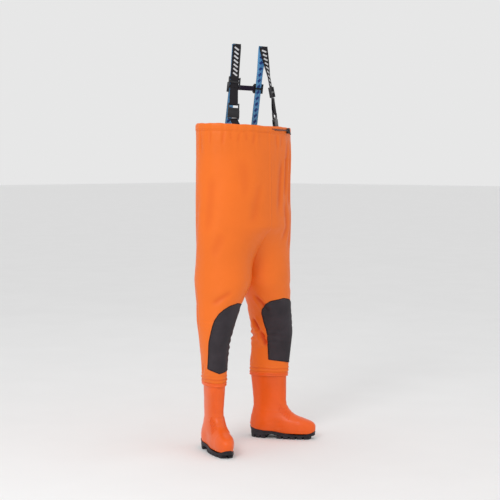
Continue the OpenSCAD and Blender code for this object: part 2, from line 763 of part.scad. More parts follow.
right_body_panel();
left_body_panel();
hem_band();
right_seat_panel();
left_seat_panel();
right_thigh_panel();
left_thigh_panel();
right_knee_panel();
left_knee_panel();
right_shin_panel();
left_shin_panel();
right_knee_patch();
left_knee_patch();
right_boot_seam_band();
left_boot_seam_band();
right_boot_upper();
left_boot_upper();
right_outsole();
left_outsole();
right_insole();
left_insole();
right_toe_cap();
left_toe_cap();
right_brace();
left_brace();
right_adjuster_loop();
left_adjuster_loop();
right_slider();
left_slider();
right_buckle_plug();
left_buckle_plug();
right_buckle_socket();
left_buckle_socket();
right_front_tab();
left_front_tab();
right_front_patch();
left_front_patch();
right_back_patch();
left_back_patch();
cross_strap();
right_cross_loop();
left_cross_loop();
eyelets();
drawcord();
drawcord_tails();
drawcord_knot();
cord_lock_body();
cord_lock_button();
cord_lock_spring();
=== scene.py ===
"""Chest waders: a coated-fabric bib and legs on rubber boots, held up by two elastic braces."""

import math

import bmesh
import bpy
import numpy as np
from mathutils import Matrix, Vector, noise


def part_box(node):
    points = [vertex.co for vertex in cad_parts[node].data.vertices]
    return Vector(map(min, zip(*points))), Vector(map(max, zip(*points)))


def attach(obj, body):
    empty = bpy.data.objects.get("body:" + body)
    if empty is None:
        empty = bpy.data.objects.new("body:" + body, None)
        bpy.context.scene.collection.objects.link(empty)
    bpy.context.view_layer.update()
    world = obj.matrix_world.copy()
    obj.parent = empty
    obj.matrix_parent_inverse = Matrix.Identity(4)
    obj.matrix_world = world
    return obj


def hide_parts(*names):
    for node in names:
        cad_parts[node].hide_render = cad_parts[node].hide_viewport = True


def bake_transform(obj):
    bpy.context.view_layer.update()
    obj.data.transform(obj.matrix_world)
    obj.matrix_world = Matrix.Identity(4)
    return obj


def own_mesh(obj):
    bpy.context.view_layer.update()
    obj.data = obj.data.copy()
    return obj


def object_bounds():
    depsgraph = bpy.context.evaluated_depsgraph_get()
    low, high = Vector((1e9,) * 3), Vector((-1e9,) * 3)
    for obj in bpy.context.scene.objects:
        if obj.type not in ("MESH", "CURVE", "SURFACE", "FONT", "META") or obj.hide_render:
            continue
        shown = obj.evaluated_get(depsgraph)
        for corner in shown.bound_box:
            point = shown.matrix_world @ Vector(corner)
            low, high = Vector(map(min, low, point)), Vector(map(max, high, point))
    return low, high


bl_info = {
    "name": "Chest waders",
    "version": (1, 0, 0),
    "blender": (4, 5, 0),
    "location": "3D View > Sidebar > Waders",
    "description": "Makes chest waders with braces, knee patches and rubber boots",
    "category": "Add Mesh",
}

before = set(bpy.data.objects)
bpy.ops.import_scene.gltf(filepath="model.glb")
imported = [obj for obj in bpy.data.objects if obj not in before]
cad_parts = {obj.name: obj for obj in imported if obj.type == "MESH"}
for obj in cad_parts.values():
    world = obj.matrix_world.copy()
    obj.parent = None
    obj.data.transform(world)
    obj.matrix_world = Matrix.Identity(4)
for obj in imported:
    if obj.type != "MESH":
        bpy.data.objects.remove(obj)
cad_box = [list(corner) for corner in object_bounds()]

# Heights in this file are millimetres above the ground, and to_frame() turns them
# into the frame's metres below the wearer's shoulders.  The front faces -Y and the
# wearer's left side is +X.  SIDES gives each side's sign along X.
SHOULDER_H = round(-cad_box[0][2] * 1000)
SIDES = {"right": -1, "left": 1}
MM = 0.001

# ---- Small maths ----


def to_frame(points):
    """Millimetres above the ground to metres in the frame."""
    points = np.array(points, float)
    points[..., 2] -= SHOULDER_H
    return points * MM


def lookup(h, table):
    heights, values = zip(*table)
    return np.interp(h, heights, values)


def smooth_lookup(h, table, reach=10):
    """A table's value with its corners rounded over reach millimetres to each side."""
    h = np.asarray(h, float)
    steps = np.linspace(-reach, reach, 7)
    return sum(lookup(h + s, table) for s in steps) / len(steps)


def mix(a, b, t):
    return a + (b - a) * t


def ease(t, start=0.0, end=1.0):
    t = np.clip((np.asarray(t, float) - start) / (end - start), 0, 1)
    return t * t * (3 - 2 * t)


def hump(x, middle, reach, power=2):
    """A soft rise to 1 at middle, which falls away over reach to each side."""
    return np.exp(-(((x - middle) / reach) ** power))


def unit(v):
    v = np.asarray(v, float)
    return v / np.maximum(np.linalg.norm(v, axis=-1, keepdims=True), 1e-12)


def degrees_from(middle, angle):
    """How far an angle lies round from middle, from -180 to 180 degrees."""
    return (angle - middle + 180) % 360 - 180


def cloud(points, size, seed):
    """Smooth noise from -1 to 1 at each point, with lumps about size millimetres across."""
    flat = np.asarray(points, float).reshape(-1, 3) / size + seed * 17.3
    values = [noise.noise(Vector(p)) for p in flat]
    return np.array(values).reshape(np.asarray(points).shape[:-1])


# ---- Meshes ----


def new_object(name, mesh):
    obj = bpy.data.objects.new(name, mesh)
    bpy.context.scene.collection.objects.link(obj)
    return obj


def mesh_from(name, points, faces, uvs=None, indices=None):
    """A mesh from frame points and faces, with one UV for each point of each face."""
    mesh = bpy.data.meshes.new(name)
    mesh.from_pydata([tuple(p) for p in points], [], faces)
    if uvs is not None:
        layer = mesh.uv_layers.new(name="UVMap")
        corner = np.zeros(len(mesh.loops), int)
        mesh.loops.foreach_get("vertex_index", corner)
        layer.data.foreach_set("uv", np.asarray(uvs, float)[corner].ravel())
    if indices is not None:
        mesh.polygons.foreach_set("material_index", np.asarray(indices, int))
    mesh.polygons.foreach_set("use_smooth", np.ones(len(mesh.polygons), bool))
    mesh.update()
    return mesh


def grid_faces(rows, columns, closed=False, flip=False, ring=False):
    """Quads over a grid, closed round its columns, and as a ring from the last row to the first."""
    faces = []
    for i in range(rows if ring else rows - 1):
        n = (i + 1) % rows
        for j in range(columns if closed else columns - 1):
            k = (j + 1) % columns
            quad = (i * columns + j, i * columns + k, n * columns + k, n * columns + j)
            faces.append(quad[::-1] if flip else quad)
    return faces


def end_caps(rows, columns):
    """Faces that close the first and the last row of a grid with closed columns."""
    return [tuple(range(columns))[::-1], tuple(range((rows - 1) * columns, rows * columns))]


def store(mesh, name, values):
    attribute = mesh.attributes.new(name, "FLOAT", "POINT")
    attribute.data.foreach_set("value", np.asarray(values, np.float32).ravel())


def settle(obj):
    """Replaces an object's mesh with its evaluated mesh, and takes its modifiers off."""
    graph = bpy.context.evaluated_depsgraph_get()
    mesh = bpy.data.meshes.new_from_object(obj.evaluated_get(graph))
    mesh.name = obj.name
    obj.modifiers.clear()
    obj.data = mesh
    return obj


def give_wall(obj, thickness, inner_material=None):
    """Gives an open surface a wall on its inner side."""
    wall = obj.modifiers.new("wall", "SOLIDIFY")
    wall.thickness = thickness
    wall.offset = -1
    wall.use_even_offset = False
    if inner_material is not None:
        wall.material_offset = inner_material
    return settle(obj)


def weld(obj, distance=1e-5):
    work = bmesh.new()
    work.from_mesh(obj.data)
    bmesh.ops.remove_doubles(work, verts=work.verts, dist=distance)
    work.to_mesh(obj.data)
    work.free()
    return obj


def surface(name, grid, faces, materials, uvs=None, indices=None):
    """An object from points in millimetres above the ground, faces and materials."""
    obj = new_object(name, mesh_from(name, to_frame(grid).reshape(-1, 3), faces, uvs, indices))
    for material in materials:
        obj.data.materials.append(material)
    return obj


def join(name, parts, materials):
    """One object from several (points, faces, material index, uvs) parts."""
    points, faces, indices, uvs = [], [], [], []
    for part_points, part_faces, index, part_uvs in parts:
        start = len(points)
        points.extend(map(tuple, part_points))
        faces.extend(tuple(v + start for v in face) for face in part_faces)
        indices.extend([index] * len(part_faces))
        uvs.extend(part_uvs if part_uvs is not None else [(0.0, 0.0)] * len(part_points))
    obj = new_object(name, mesh_from(name, points, faces, uvs, indices))
    for material in materials:
        obj.data.materials.append(material)
    return obj


def tube(path, radius, sides=8, closed=False):
    """Points, faces and UVs of a round tube along a path, both ends rounded off."""
    path = np.array(path, float)
    n = len(path)
    if closed:
        along = unit(np.roll(path, -1, axis=0) - np.roll(path, 1, axis=0))
    else:
        along = unit(np.gradient(path, axis=0))
    up = np.broadcast_to(np.array((0.0, 0.0, 1.0)), path.shape)
    level = unit(np.cross(up, along))
    lifted = np.cross(along, level)
    length = np.concatenate([[0], np.cumsum(np.linalg.norm(np.diff(path, axis=0), axis=1))])
    turn = np.arange(sides) * 2 * math.pi / sides
    rings, ring_lengths = [], []

    def ring(i, scale, push):
        centre = path[i] + along[i] * push
        round_it = np.outer(np.cos(turn), level[i]) + np.outer(np.sin(turn), lifted[i])
        return centre + round_it * radius * scale

    if not closed:
        rings += [ring(0, 0.02, -radius * 0.7), ring(0, 0.6, -radius * 0.5)]
        ring_lengths += [length[0]] * 2
    for i in range(n):
        rings.append(ring(i, 1.0, 0.0))
        ring_lengths.append(length[i])
    if not closed:
        rings += [ring(n - 1, 0.6, radius * 0.5), ring(n - 1, 0.02, radius * 0.7)]
        ring_lengths += [length[-1]] * 2
    count = len(rings)
    points = np.concatenate(rings)
    faces = grid_faces(count, sides, closed=True, flip=True, ring=closed)
    if not closed:
        faces += [face[::-1] for face in end_caps(count, sides)]
    uvs = [(j / sides, s) for s in ring_lengths for j in range(sides)]
    return points, faces, uvs


def faces_out(obj):
    """Turns a closed mesh's faces outwards."""
    work = bmesh.new()
    work.from_mesh(obj.data)
    bmesh.ops.recalc_face_normals(work, faces=work.faces)
    work.to_mesh(obj.data)
    work.free()
    return obj


def tube_object(name, path, radius, sides, material, closed=False):
    """A round tube along a path in the frame, as an object with its faces outwards."""
    points, faces, uvs = tube(path, radius, sides, closed)
    return faces_out(join(name, [(points, faces, 0, uvs)], [material]))


def finished_copy(node, name, bevel, material, angle=35):
    """A welded copy of a CAD node with rounded edges, which then stands for the node."""
    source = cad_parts[node]
    obj = new_object(name, source.data.copy())
    work = bmesh.new()
    work.from_mesh(obj.data)
    bmesh.ops.remove_doubles(work, verts=work.verts, dist=2e-6)
    bmesh.ops.dissolve_limit(work, angle_limit=math.radians(2), verts=work.verts, edges=work.edges)
    work.to_mesh(obj.data)
    work.free()
    obj.data.materials.clear()
    obj.data.materials.append(material)
    edge = obj.modifiers.new("rounded edges", "BEVEL")
    edge.width = bevel
    edge.segments = 2
    edge.limit_method = "ANGLE"
    edge.angle_limit = math.radians(angle)
    edge.harden_normals = False
    settle(obj)
    obj.data.polygons.foreach_set("use_smooth", np.ones(len(obj.data.polygons), bool))
    obj.data.set_sharp_from_angle(angle=math.radians(40))
    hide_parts(node)
    return obj


def hand_over(obj, body, nodes=()):
    """Gives a finished piece its body and the nodes that it stands for."""
    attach(obj, body)
    if nodes:
        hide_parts(*nodes)
    return obj


# ---- Materials ----


def plain_material(name, roughness, **sockets):
    """A material whose same-all-over values are set on the shader's own sockets."""
    name += "_look"
    old = bpy.data.materials.get(name)
    if old:
        return old, None, None
    material = bpy.data.materials.new(name)
    material.use_nodes = True
    tree = material.node_tree
    shader = tree.nodes["Principled BSDF"]
    shader.inputs["Roughness"].default_value = roughness
    for socket, value in sockets.items():
        shader.inputs[socket.replace("_", " ").title().replace("Ior", "IOR")].default_value = value
    return material, tree, shader


def add(tree, kind, inputs=(), **settings):
    made = tree.nodes.new(kind)
    for name, value in settings.items():
        setattr(made, name, value)
    for name, value in dict(inputs).items():
        socket = made.inputs[name]
        if isinstance(value, bpy.types.NodeSocket):
            tree.links.new(value, socket)
        else:
            socket.default_value = value
    return made


def maths(tree, operation, a, b=0.0, c=0.0):
    return add(tree, "ShaderNodeMath", {0: a, 1: b, 2: c}, operation=operation).outputs[0]


def waves(tree, place, scale, direction, distortion=0.0):
    """Even ridges that follow each other along one direction."""
    sizes = {"Vector": place, "Scale": scale, "Distortion": distortion}
    return add(tree, "ShaderNodeTexWave", sizes, bands_direction=direction).outputs["Fac"]


def paint(tree, shader, colour, rough=None):
    """Gives the shader its colour, and its roughness where that varies."""
    tree.links.new(colour, shader.inputs["Base Color"])
    if rough is not None:
        tree.links.new(rough, shader.inputs["Roughness"])


def object_place(tree):
    return add(tree, "ShaderNodeTexCoord").outputs["Object"]


def uv_place(tree):
    return add(tree, "ShaderNodeUVMap", uv_map="UVMap").outputs["UV"]


def lumps(tree, place, scale, detail=2.0, roughness=0.5):
    sizes = {"Vector": place, "Scale": scale, "Detail": detail, "Roughness": roughness}
    return add(tree, "ShaderNodeTexNoise", sizes).outputs["Fac"]


# The Mix node's sockets for colours: the first, the second and the result.
MIX_LOW, MIX_HIGH, MIX_RESULT = 6, 7, 2


def between(tree, factor, low, high):
    """A colour that runs from low to high as factor goes from 0 to 1."""
    low, high = (c if isinstance(c, bpy.types.NodeSocket) else (*c[:3], 1) for c in (low, high))
    ends = {"Factor": factor, MIX_LOW: low, MIX_HIGH: high}
    return add(tree, "ShaderNodeMix", ends, data_type="RGBA").outputs[MIX_RESULT]


def stretch(tree, value, low, high):
    """Makes the part of a value from low to high run from 0 to 1."""
    ends = {"Value": value, "From Min": low, "From Max": high}
    return add(tree, "ShaderNodeMapRange", ends).outputs["Result"]


def stretch_to(tree, value, low, high):
    """Makes the usual part of a noise, from 0.3 to 0.7, run from low to high."""
    ends = {"Value": value, "From Min": 0.3, "From Max": 0.7, "To Min": low, "To Max": high}
    return add(tree, "ShaderNodeMapRange", ends).outputs["Result"]


def bump(tree, shader, height, strength, distance, before=None):
    """Raises the surface by a height, on top of the bump made before it."""
    sizes = {"Height": height, "Strength": strength, "Distance": distance}
    made = add(tree, "ShaderNodeBump", sizes)
    if before is not None:
        tree.links.new(before, made.inputs["Normal"])
    tree.links.new(made.outputs["Normal"], shader.inputs["Normal"])
    return made.outputs["Normal"]


def shade(colour, amount):
    """A colour made darker (below 1) or lighter (above 1)."""
    return tuple(min(1.0, c * amount) for c in colour[:3])


def coated_fabric():
    """Coated fabric: soft sheen, a fine grain, faint weave, and painted shade that deepens the
    colour in its folds.
    """
    material, tree, shader = plain_material("coated_fabric", 0.48, specular_ior_level=0.28)
    if tree is None:
        return material
    place = object_place(tree)
    fold = add(tree, "ShaderNodeAttribute", attribute_name="fold").outputs["Fac"]
    mottling = stretch(tree, lumps(tree, place, 5.0, 3.0), 0.3, 0.7)
    base = between(tree, mottling, shade(colours().fabric, 0.93), colours().fabric)
    # Painted shade: where the fold attribute says the fabric lies deep in a fold or between the
    # rolls, the colour darkens towards the fold shade colour.
    base = between(tree, stretch(tree, fold, 0.0, 1.0), base, colours().fabric_fold_shade)
    paint(tree, shader, base, stretch_to(tree, lumps(tree, place, 60.0, 2.0), 0.4, 0.54))
    weave = waves(tree, place, 520.0, "Z", 0.6)
    first = bump(tree, shader, weave, 0.05, 0.0002)
    grain = lumps(tree, place, 1500.0, 1.0)
    second = bump(tree, shader, grain, 0.09, 0.0003, first)
    dents = lumps(tree, place, 34.0, 3.0, 0.55)
    bump(tree, shader, dents, 0.12, 0.006, second)
    return material


def lining_fabric():
    """The fabric's inner side: a fine matt knit."""
    material, tree, shader = plain_material("lining_fabric", 0.8, sheen_weight=0.2)
    if tree is None:
        return material
    place = object_place(tree)
    knit = waves(tree, place, 260.0, "DIAGONAL", 1.5)
    paint(tree, shader, between(tree, knit, shade(colours().lining, 0.85), colours().lining))
    bump(tree, shader, knit, 0.3, 0.0004)
    return material


def patch_fabric():
    """Charcoal ripstop: a fine square weave with heavier threads every 5 mm."""
    material, tree, shader = plain_material("patch_fabric", 0.62, specular_ior_level=0.25)
    if tree is None:
        return material
    place = uv_place(tree)
    weave = maths(tree, "MULTIPLY", *(waves(tree, place, 150.0, way) for way in "XY"))
    wear = lumps(tree, object_place(tree), 16.0, 4.0)
    worn = stretch(tree, wear, 0.35, 0.7)
    base = between(tree, worn, colours().patch, shade(colours().patch, 1.5))
    base = between(tree, maths(tree, "MULTIPLY", weave, 0.35), base, shade(colours().patch, 0.6))
    paint(tree, shader, base)
    first = bump(tree, shader, weave, 0.25, 0.0004)
    bump(tree, shader, wear, 0.2, 0.004, first)
    return material


def boot_rubber():
    """Moulded boot: smooth, glossier than the fabric, scuffed in patches."""
    material, tree, shader = plain_material("boot_rubber", 0.34, specular_ior_level=0.4)
    if tree is None:
        return material
    place = object_place(tree)
    mottling = stretch(tree, lumps(tree, place, 9.0, 3.0), 0.3, 0.7)
    base = between(tree, mottling, shade(colours().boot, 0.9), colours().boot)
    scuff = lumps(tree, place, 120.0, 4.0, 0.7)
    scuffed = maths(tree, "MULTIPLY", stretch(tree, scuff, 0.6, 0.8), 0.3)
    base = between(tree, scuffed, base, shade(colours().boot, 0.75))
    paint(tree, shader, base, stretch_to(tree, scuff, 0.28, 0.42))
    first = bump(tree, shader, lumps(tree, place, 900.0, 1.0), 0.04, 0.0003)
    bump(tree, shader, lumps(tree, place, 26.0, 2.0), 0.08, 0.006, first)
    return material


def sole_rubber():
    """Black sole: matt, grained and a little dusty."""
    material, tree, shader = plain_material("sole_rubber", 0.55, specular_ior_level=0.25)
    if tree is None:
        return material
    place = object_place(tree)
    dust = lumps(tree, place, 22.0, 5.0, 0.65)
    dusty = stretch(tree, dust, 0.45, 0.75)
    base = between(tree, dusty, colours().sole, shade(colours().sole, 2.4))
    paint(tree, shader, base, stretch_to(tree, dust, 0.45, 0.65))
    first = bump(tree, shader, lumps(tree, place, 1100.0, 2.0), 0.2, 0.0004)
    bump(tree, shader, dust, 0.1, 0.003, first)
    return material


def webbing_cloth(name, colour):
    """Elastic webbing: ribs along its length and a fine cross weave, from its own UVs in metres,
    with painted shade in the grooves between them.
    """
    material, tree, shader = plain_material(name, 0.75, specular_ior_level=0.15)
    if tree is None:
        return material
    place = uv_place(tree)
    ribs, threads = waves(tree, place, 110.0, "X"), waves(tree, place, 200.0, "Y", 0.4)
    weave = maths(tree, "MULTIPLY", ribs, threads)
    fuzz = stretch(tree, lumps(tree, object_place(tree), 220.0, 3.0), 0.4, 0.8)
    # Painted shade: the colour darkens in the grooves between the ribs and the threads.
    base = between(tree, weave, shade(colour, 0.7), colour)
    base = between(tree, maths(tree, "MULTIPLY", fuzz, 0.25), base, shade(colour, 1.35))
    paint(tree, shader, base)
    bump(tree, shader, weave, 0.45, 0.0005)
    return material


def printed_ink(name, colour):
    """Print or thread of one colour, a little worn."""
    material, tree, shader = plain_material(name, 0.6, specular_ior_level=0.2)
    if tree is None:
        return material
    wear = lumps(tree, object_place(tree), 700.0, 3.0)
    paint(tree, shader, between(tree, stretch(tree, wear, 0.35, 0.7), shade(colour, 0.78), colour))
    bump(tree, shader, wear, 0.2, 0.0002)
    return material


def moulded_plastic():
    """Black moulded plastic: a spark-eroded grain and a faint haze."""
    material, tree, shader = plain_material("moulded_plastic", 0.38, specular_ior_level=0.35)
    if tree is None:
        return material
    place = object_place(tree)
    spark = lumps(tree, place, 1400.0, 2.0)
    haze = lumps(tree, place, 40.0, 3.0)
    hazy = stretch(tree, haze, 0.4, 0.7)
    base = between(tree, hazy, colours().plastic, shade(colours().plastic, 1.6))
    paint(tree, shader, base, stretch_to(tree, haze, 0.3, 0.46))
    bump(tree, shader, spark, 0.12, 0.0002)
    return material


# How many strands the cord's braid has each way, and their pitch in metres.
STRANDS, STRAND_PITCH = 6, 0.0024


def braided_cord():
    """A round braid: two sets of strands that cross, from the cord's own UVs, with painted shade in
    the grooves between them and a painted highlight on their crowns.
    """
    material, tree, shader = plain_material("braided_cord", 0.75, sheen_weight=0.2)
    if tree is None:
        return material
    split = add(tree, "ShaderNodeSeparateXYZ", {"Vector": uv_place(tree)})
    turns = maths(tree, "MULTIPLY", split.outputs["X"], STRANDS * math.pi * 2)
    lengths = maths(tree, "MULTIPLY", split.outputs["Y"], 2 * math.pi / STRAND_PITCH)
    one = maths(tree, "SINE", maths(tree, "ADD", turns, lengths))
    other = maths(tree, "SINE", maths(tree, "SUBTRACT", turns, lengths))
    braid = maths(tree, "MULTIPLY_ADD", maths(tree, "MAXIMUM", one, other), 0.5, 0.5)
    # Painted shade and highlight: the grooves between the strands are darkened and the strands'
    # crowns lightened.
    dark, light = shade(colours().cord, 0.5), shade(colours().cord, 1.6)
    paint(tree, shader, between(tree, braid, dark, light))
    bump(tree, shader, braid, 0.5, 0.0004)
    return material


def bright_steel():
    """The steel of the toe caps and of the cord lock's spring."""
    material, tree, shader = plain_material("bright_steel", 0.3, metallic=1.0)
    if tree is None:
        return material
    brushed = lumps(tree, object_place(tree), 300.0, 4.0)
    base = between(tree, brushed, (0.45, 0.46, 0.48), (0.72, 0.73, 0.75))
    paint(tree, shader, base, stretch_to(tree, brushed, 0.22, 0.42))
    bump(tree, shader, brushed, 0.1, 0.0002)
    return material


def felt():
    """The insoles' grey felt."""
    material, tree, shader = plain_material("insole_felt", 0.95, sheen_weight=0.4)
    if tree is None:
        return material
    hairs = lumps(tree, object_place(tree), 500.0, 5.0, 0.8)
    paint(tree, shader, between(tree, hairs, (0.05, 0.05, 0.055), (0.2, 0.2, 0.21)))
    bump(tree, shader, hairs, 0.6, 0.0008)
    return material


# ---- Rows of marks by Geometry Nodes ----


def marks_tree(name, shape):
    """Places one small shape at even spacing along a path that carries its surface normals.

    The path is a mesh of edges with a vector attribute, facing.  shape is 'STITCH', a
    rounded thread, or 'BAR', a flat printed or raised block."""
    tree = bpy.data.node_groups.get(name)
    if tree:
        return tree
    tree = bpy.data.node_groups.new(name, "GeometryNodeTree")
    face = tree.interface
    face.new_socket("Path", in_out="INPUT", socket_type="NodeSocketGeometry")
    for label, default in (("Spacing", 0.005), ("Lift", 0.0002), ("Turn", 0.0)):
        socket = face.new_socket(label, in_out="INPUT", socket_type="NodeSocketFloat")
        socket.default_value = default
    face.new_socket("Size", in_out="INPUT", socket_type="NodeSocketVector")
    face.new_socket("Finish", in_out="INPUT", socket_type="NodeSocketMaterial")
    face.new_socket("Marks", in_out="OUTPUT", socket_type="NodeSocketGeometry")
    entry = add(tree, "NodeGroupInput").outputs
    curve = add(tree, "GeometryNodeMeshToCurve", {"Mesh": entry["Path"]}).outputs["Curve"]
    spaced = {"Curve": curve, "Length": entry["Spacing"]}
    even = add(tree, "GeometryNodeResampleCurve", spaced, mode="LENGTH").outputs["Curve"]
    along = add(tree, "GeometryNodeInputTangent").outputs["Tangent"]
    stored = {"Name": "facing"}
    facing = add(tree, "GeometryNodeInputNamedAttribute", stored, data_type="FLOAT_VECTOR")
    ends = {"Primary Axis": facing.outputs["Attribute"], "Secondary Axis": along}
    axes = add(tree, "FunctionNodeAxesToRotation", ends, primary_axis="Z", secondary_axis="X")
    slant = {"Axis": (0, 0, 1), "Angle": entry["Turn"]}
    spin = add(tree, "FunctionNodeAxisAngleToRotation", slant).outputs["Rotation"]
    both = {"Rotation": axes.outputs["Rotation"], "Rotate By": spin}
    turned = add(tree, "FunctionNodeRotateRotation", both, rotation_space="LOCAL")
    if shape == "STITCH":
        ball = {"Segments": 8, "Rings": 5, "Radius": 0.5}
        mark = add(tree, "GeometryNodeMeshUVSphere", ball).outputs["Mesh"]
    else:
        mark = add(tree, "GeometryNodeMeshCube").outputs["Mesh"]
    soft = {"Geometry": mark, "Shade Smooth": shape == "STITCH"}
    smooth = add(tree, "GeometryNodeSetShadeSmooth", soft).outputs["Geometry"]
    placed = add(tree, "GeometryNodeInstanceOnPoints", {
        "Points": even, "Instance": smooth,
        "Rotation": turned.outputs["Rotation"], "Scale": entry["Size"],
    }).outputs["Instances"]
    rise = add(tree, "ShaderNodeCombineXYZ", {"Z": entry["Lift"]}).outputs["Vector"]
    shift = {"Instances": placed, "Translation": rise, "Local Space": True}
    lifted = add(tree, "GeometryNodeTranslateInstances", shift).outputs["Instances"]
    real = add(tree, "GeometryNodeRealizeInstances", {"Geometry": lifted}).outputs["Geometry"]
    finish = {"Geometry": real, "Material": entry["Finish"]}
    marks = add(tree, "GeometryNodeSetMaterial", finish).outputs["Geometry"]
    add(tree, "NodeGroupOutput", {"Marks": marks})
    return tree


def row_of_marks(name, paths, facings, shape, spacing, size, material, lift=0.0002, turn=0.0):
    """An object of marks along one or more paths, with each path's facing, made plain mesh."""
    points, edges, normals = [], [], []
    for path, facing in zip(paths, facings):
        start = len(points)
        points.extend(map(tuple, path))
        normals.extend(map(tuple, np.broadcast_to(np.asarray(facing, float), np.shape(path))))
        edges.extend((start + i, start + i + 1) for i in range(len(path) - 1))
    mesh = bpy.data.meshes.new(name)
    mesh.from_pydata(points, edges, [])
    attribute = mesh.attributes.new("facing", "FLOAT_VECTOR", "POINT")
    attribute.data.foreach_set("vector", np.asarray(normals, np.float32).ravel())
    obj = new_object(name, mesh)
    modifier = obj.modifiers.new("marks", "NODES")
    tree = marks_tree("marks_" + shape.lower(), shape)
    wanted = {"Spacing": spacing, "Lift": lift, "Turn": turn, "Size": size, "Finish": material}
    modifier.node_group = tree
    for item in tree.interface.items_tree:
        if item.in_out == "INPUT" and item.name in wanted:
            modifier[item.identifier] = wanted[item.name]
    settle(obj)
    if not obj.data.polygons:
        raise RuntimeError(f"{name} came out empty")
    return obj


# ---- The fabric's shape ----

BIB_HALF_WIDTH = [(840, 260), (950, 262), (1300, 262), (1465, 265)]
BIB_HALF_DEPTH = [(840, 160), (950, 170), (1300, 165), (1465, 163)]
LEG_X = [(297, 185), (500, 195), (580, 184), (665, 164)]
LEG_Y = [(297, 13), (500, 0)]
LEG_HALF_WIDTH = [(297, 49), (420, 57), (500, 66), (580, 82), (665, 99)]
LEG_HALF_LENGTH = [(297, 91), (420, 94), (500, 97), (665, 106)]
TOE_OUT = 28
LEG_TURN = [(500, TOE_OUT - 90), (665, TOE_OUT / 2 - 90)]
HEM_BOTTOM_H, RIM_H = 1437, 1465
FORK_H, CUT_H, SHIN_BOTTOM_H = 775, 600, 297
# How far the front and back of each half have left the bib's oval for the leg's own.
FRONT_RISE = [(775, 1), (839, 0.75), (897, 0.5), (949, 0.32), (1011, 0)]
BACK_RISE = [(775, 1), (820, 0.72), (870, 0.4), (920, 0.12), (960, 0)]
LEG_SPLIT = [(665, 1), (697, 0.68), (740, 0.2), (775, 0)]
ROUND_X, ROUND_FRONT, ROUND_BACK = 131, 122, 140


def rim_lift(side_cos, h):
    """The rim hangs a little higher at the wearer's right side."""
    return 15 * np.maximum(0, h - 1300) / 165 * ((1 - side_cos) / 2) ** 2


def bib_point(angle, h, inset):
    """A point on the bib's oval, by its angle in degrees from the wearer's left."""
    a = np.radians(angle)
    h = np.asarray(h, float)
    x = (lookup(h, BIB_HALF_WIDTH) - inset) * np.cos(a)
    y = (lookup(h, BIB_HALF_DEPTH) - inset) * np.sin(a)
    return np.stack(np.broadcast_arrays(x, y, h + rim_lift(np.cos(a), h)), axis=-1)


def leg_oval(angle, h, out):
    turn = np.radians(smooth_lookup(h, LEG_TURN))
    a = np.radians(angle) - turn
    length = (smooth_lookup(h, LEG_HALF_LENGTH) + out) * np.cos(a)
    width = (smooth_lookup(h, LEG_HALF_WIDTH) + out) * np.sin(a)
    x = smooth_lookup(h, LEG_X) + length * np.cos(turn) - width * np.sin(turn)
    y = smooth_lookup(h, LEG_Y) + length * np.sin(turn) + width * np.cos(turn)
    return x, y


def half_point(side, v, h, out=0.0):
    """A point on one half: v goes from 0 at the front middle, or inner leg, by the outside to 1."""
    v, h, out = np.broadcast_arrays(
        np.asarray(v, float), np.asarray(h, float), np.asarray(out, float)
    )
    a = np.radians(180 * v - 90)
    around = 360 * v - 180
    bib_x = (smooth_lookup(h, BIB_HALF_WIDTH) + out) * np.cos(a)
    bib_y = (smooth_lookup(h, BIB_HALF_DEPTH) + out) * np.sin(a)
    r = np.radians(around)
    depth = np.where(np.sin(r) < 0, ROUND_FRONT, ROUND_BACK) + out
    round_x = ROUND_X + (ROUND_X + out) * np.cos(r)
    round_y = depth * np.sin(r)
    leg_x, leg_y = leg_oval(around, h, out)
    rise = mix(smooth_lookup(h, FRONT_RISE), smooth_lookup(h, BACK_RISE), ease(v, 0.3, 0.7))
    rise = np.where(h <= FORK_H, 1.0, rise)
    split = np.where(h >= FORK_H, 0.0, smooth_lookup(h, LEG_SPLIT, 6))
    x = mix(mix(bib_x, round_x, rise), leg_x, split)
    y = mix(mix(bib_y, round_y, rise), leg_y, split)
    on_middle = (h >= FORK_H) & ((v < 1e-6) | (v > 1 - 1e-6))
    x = np.where(on_middle, 0.0, np.where(h >= FORK_H, np.maximum(x, 0.05), x))
    lift = rim_lift(side * np.cos(a), h)
    return np.stack([side * x, y, h + lift], axis=-1)


# Soft folds, each from one point to another: (where, height, where, height, depth, width).
# On the bib "where" is degrees from the front middle round to the back, and on a leg it is
# degrees from straight out, with the front negative.
BIB_FOLDS = {
    "right": [
        (20, 1434, 23, 1376, 2.4, 7), (31, 1434, 30, 1392, 2.6, 6), (38, 1434, 41, 1384, 2.2, 6),
        (50, 1434, 48, 1396, 2, 6), (58, 1434, 60, 1372, 2, 7), (76, 1434, 78, 1372, 1.8, 8),
        (98, 1434, 94, 1330, 2, 11), (36, 1330, 30, 1120, 1.6, 26), (14, 1230, 24, 1010, 2.2, 20),
        (74, 1260, 84, 960, 2.0, 30), (60, 1000, 80, 880, 1.8, 24), (104, 1180, 118, 900, 2.5, 22),
        (128, 1330, 134, 1060, 2.5, 16),
        (150, 1420, 146, 1290, 3, 13), (162, 1200, 150, 960, 5, 26), (168, 1410, 170, 1300, 3, 12),
    ],
    "left": [
        (9, 1432, 12, 1360, 2.4, 7), (20, 1434, 18, 1370, 2.4, 7), (34, 1430, 24, 1120, 6.5, 11),
        (20, 1330, 12, 1060, 4.5, 14), (43, 1420, 37, 1060, 7, 12), (55, 1434, 51, 1220, 6, 11),
        (26, 1140, 34, 930, 5, 15), (46, 1120, 50, 880, 5, 15), (80, 1434, 84, 1340, 3, 10),
        (88, 1210, 98, 920, 2.5, 20), (112, 1434, 110, 1330, 2.5, 10),
        (130, 1260, 124, 1000, 3, 16), (150, 1434, 154, 1330, 3, 11), (158, 1240, 148, 960, 5, 28),
    ],
}
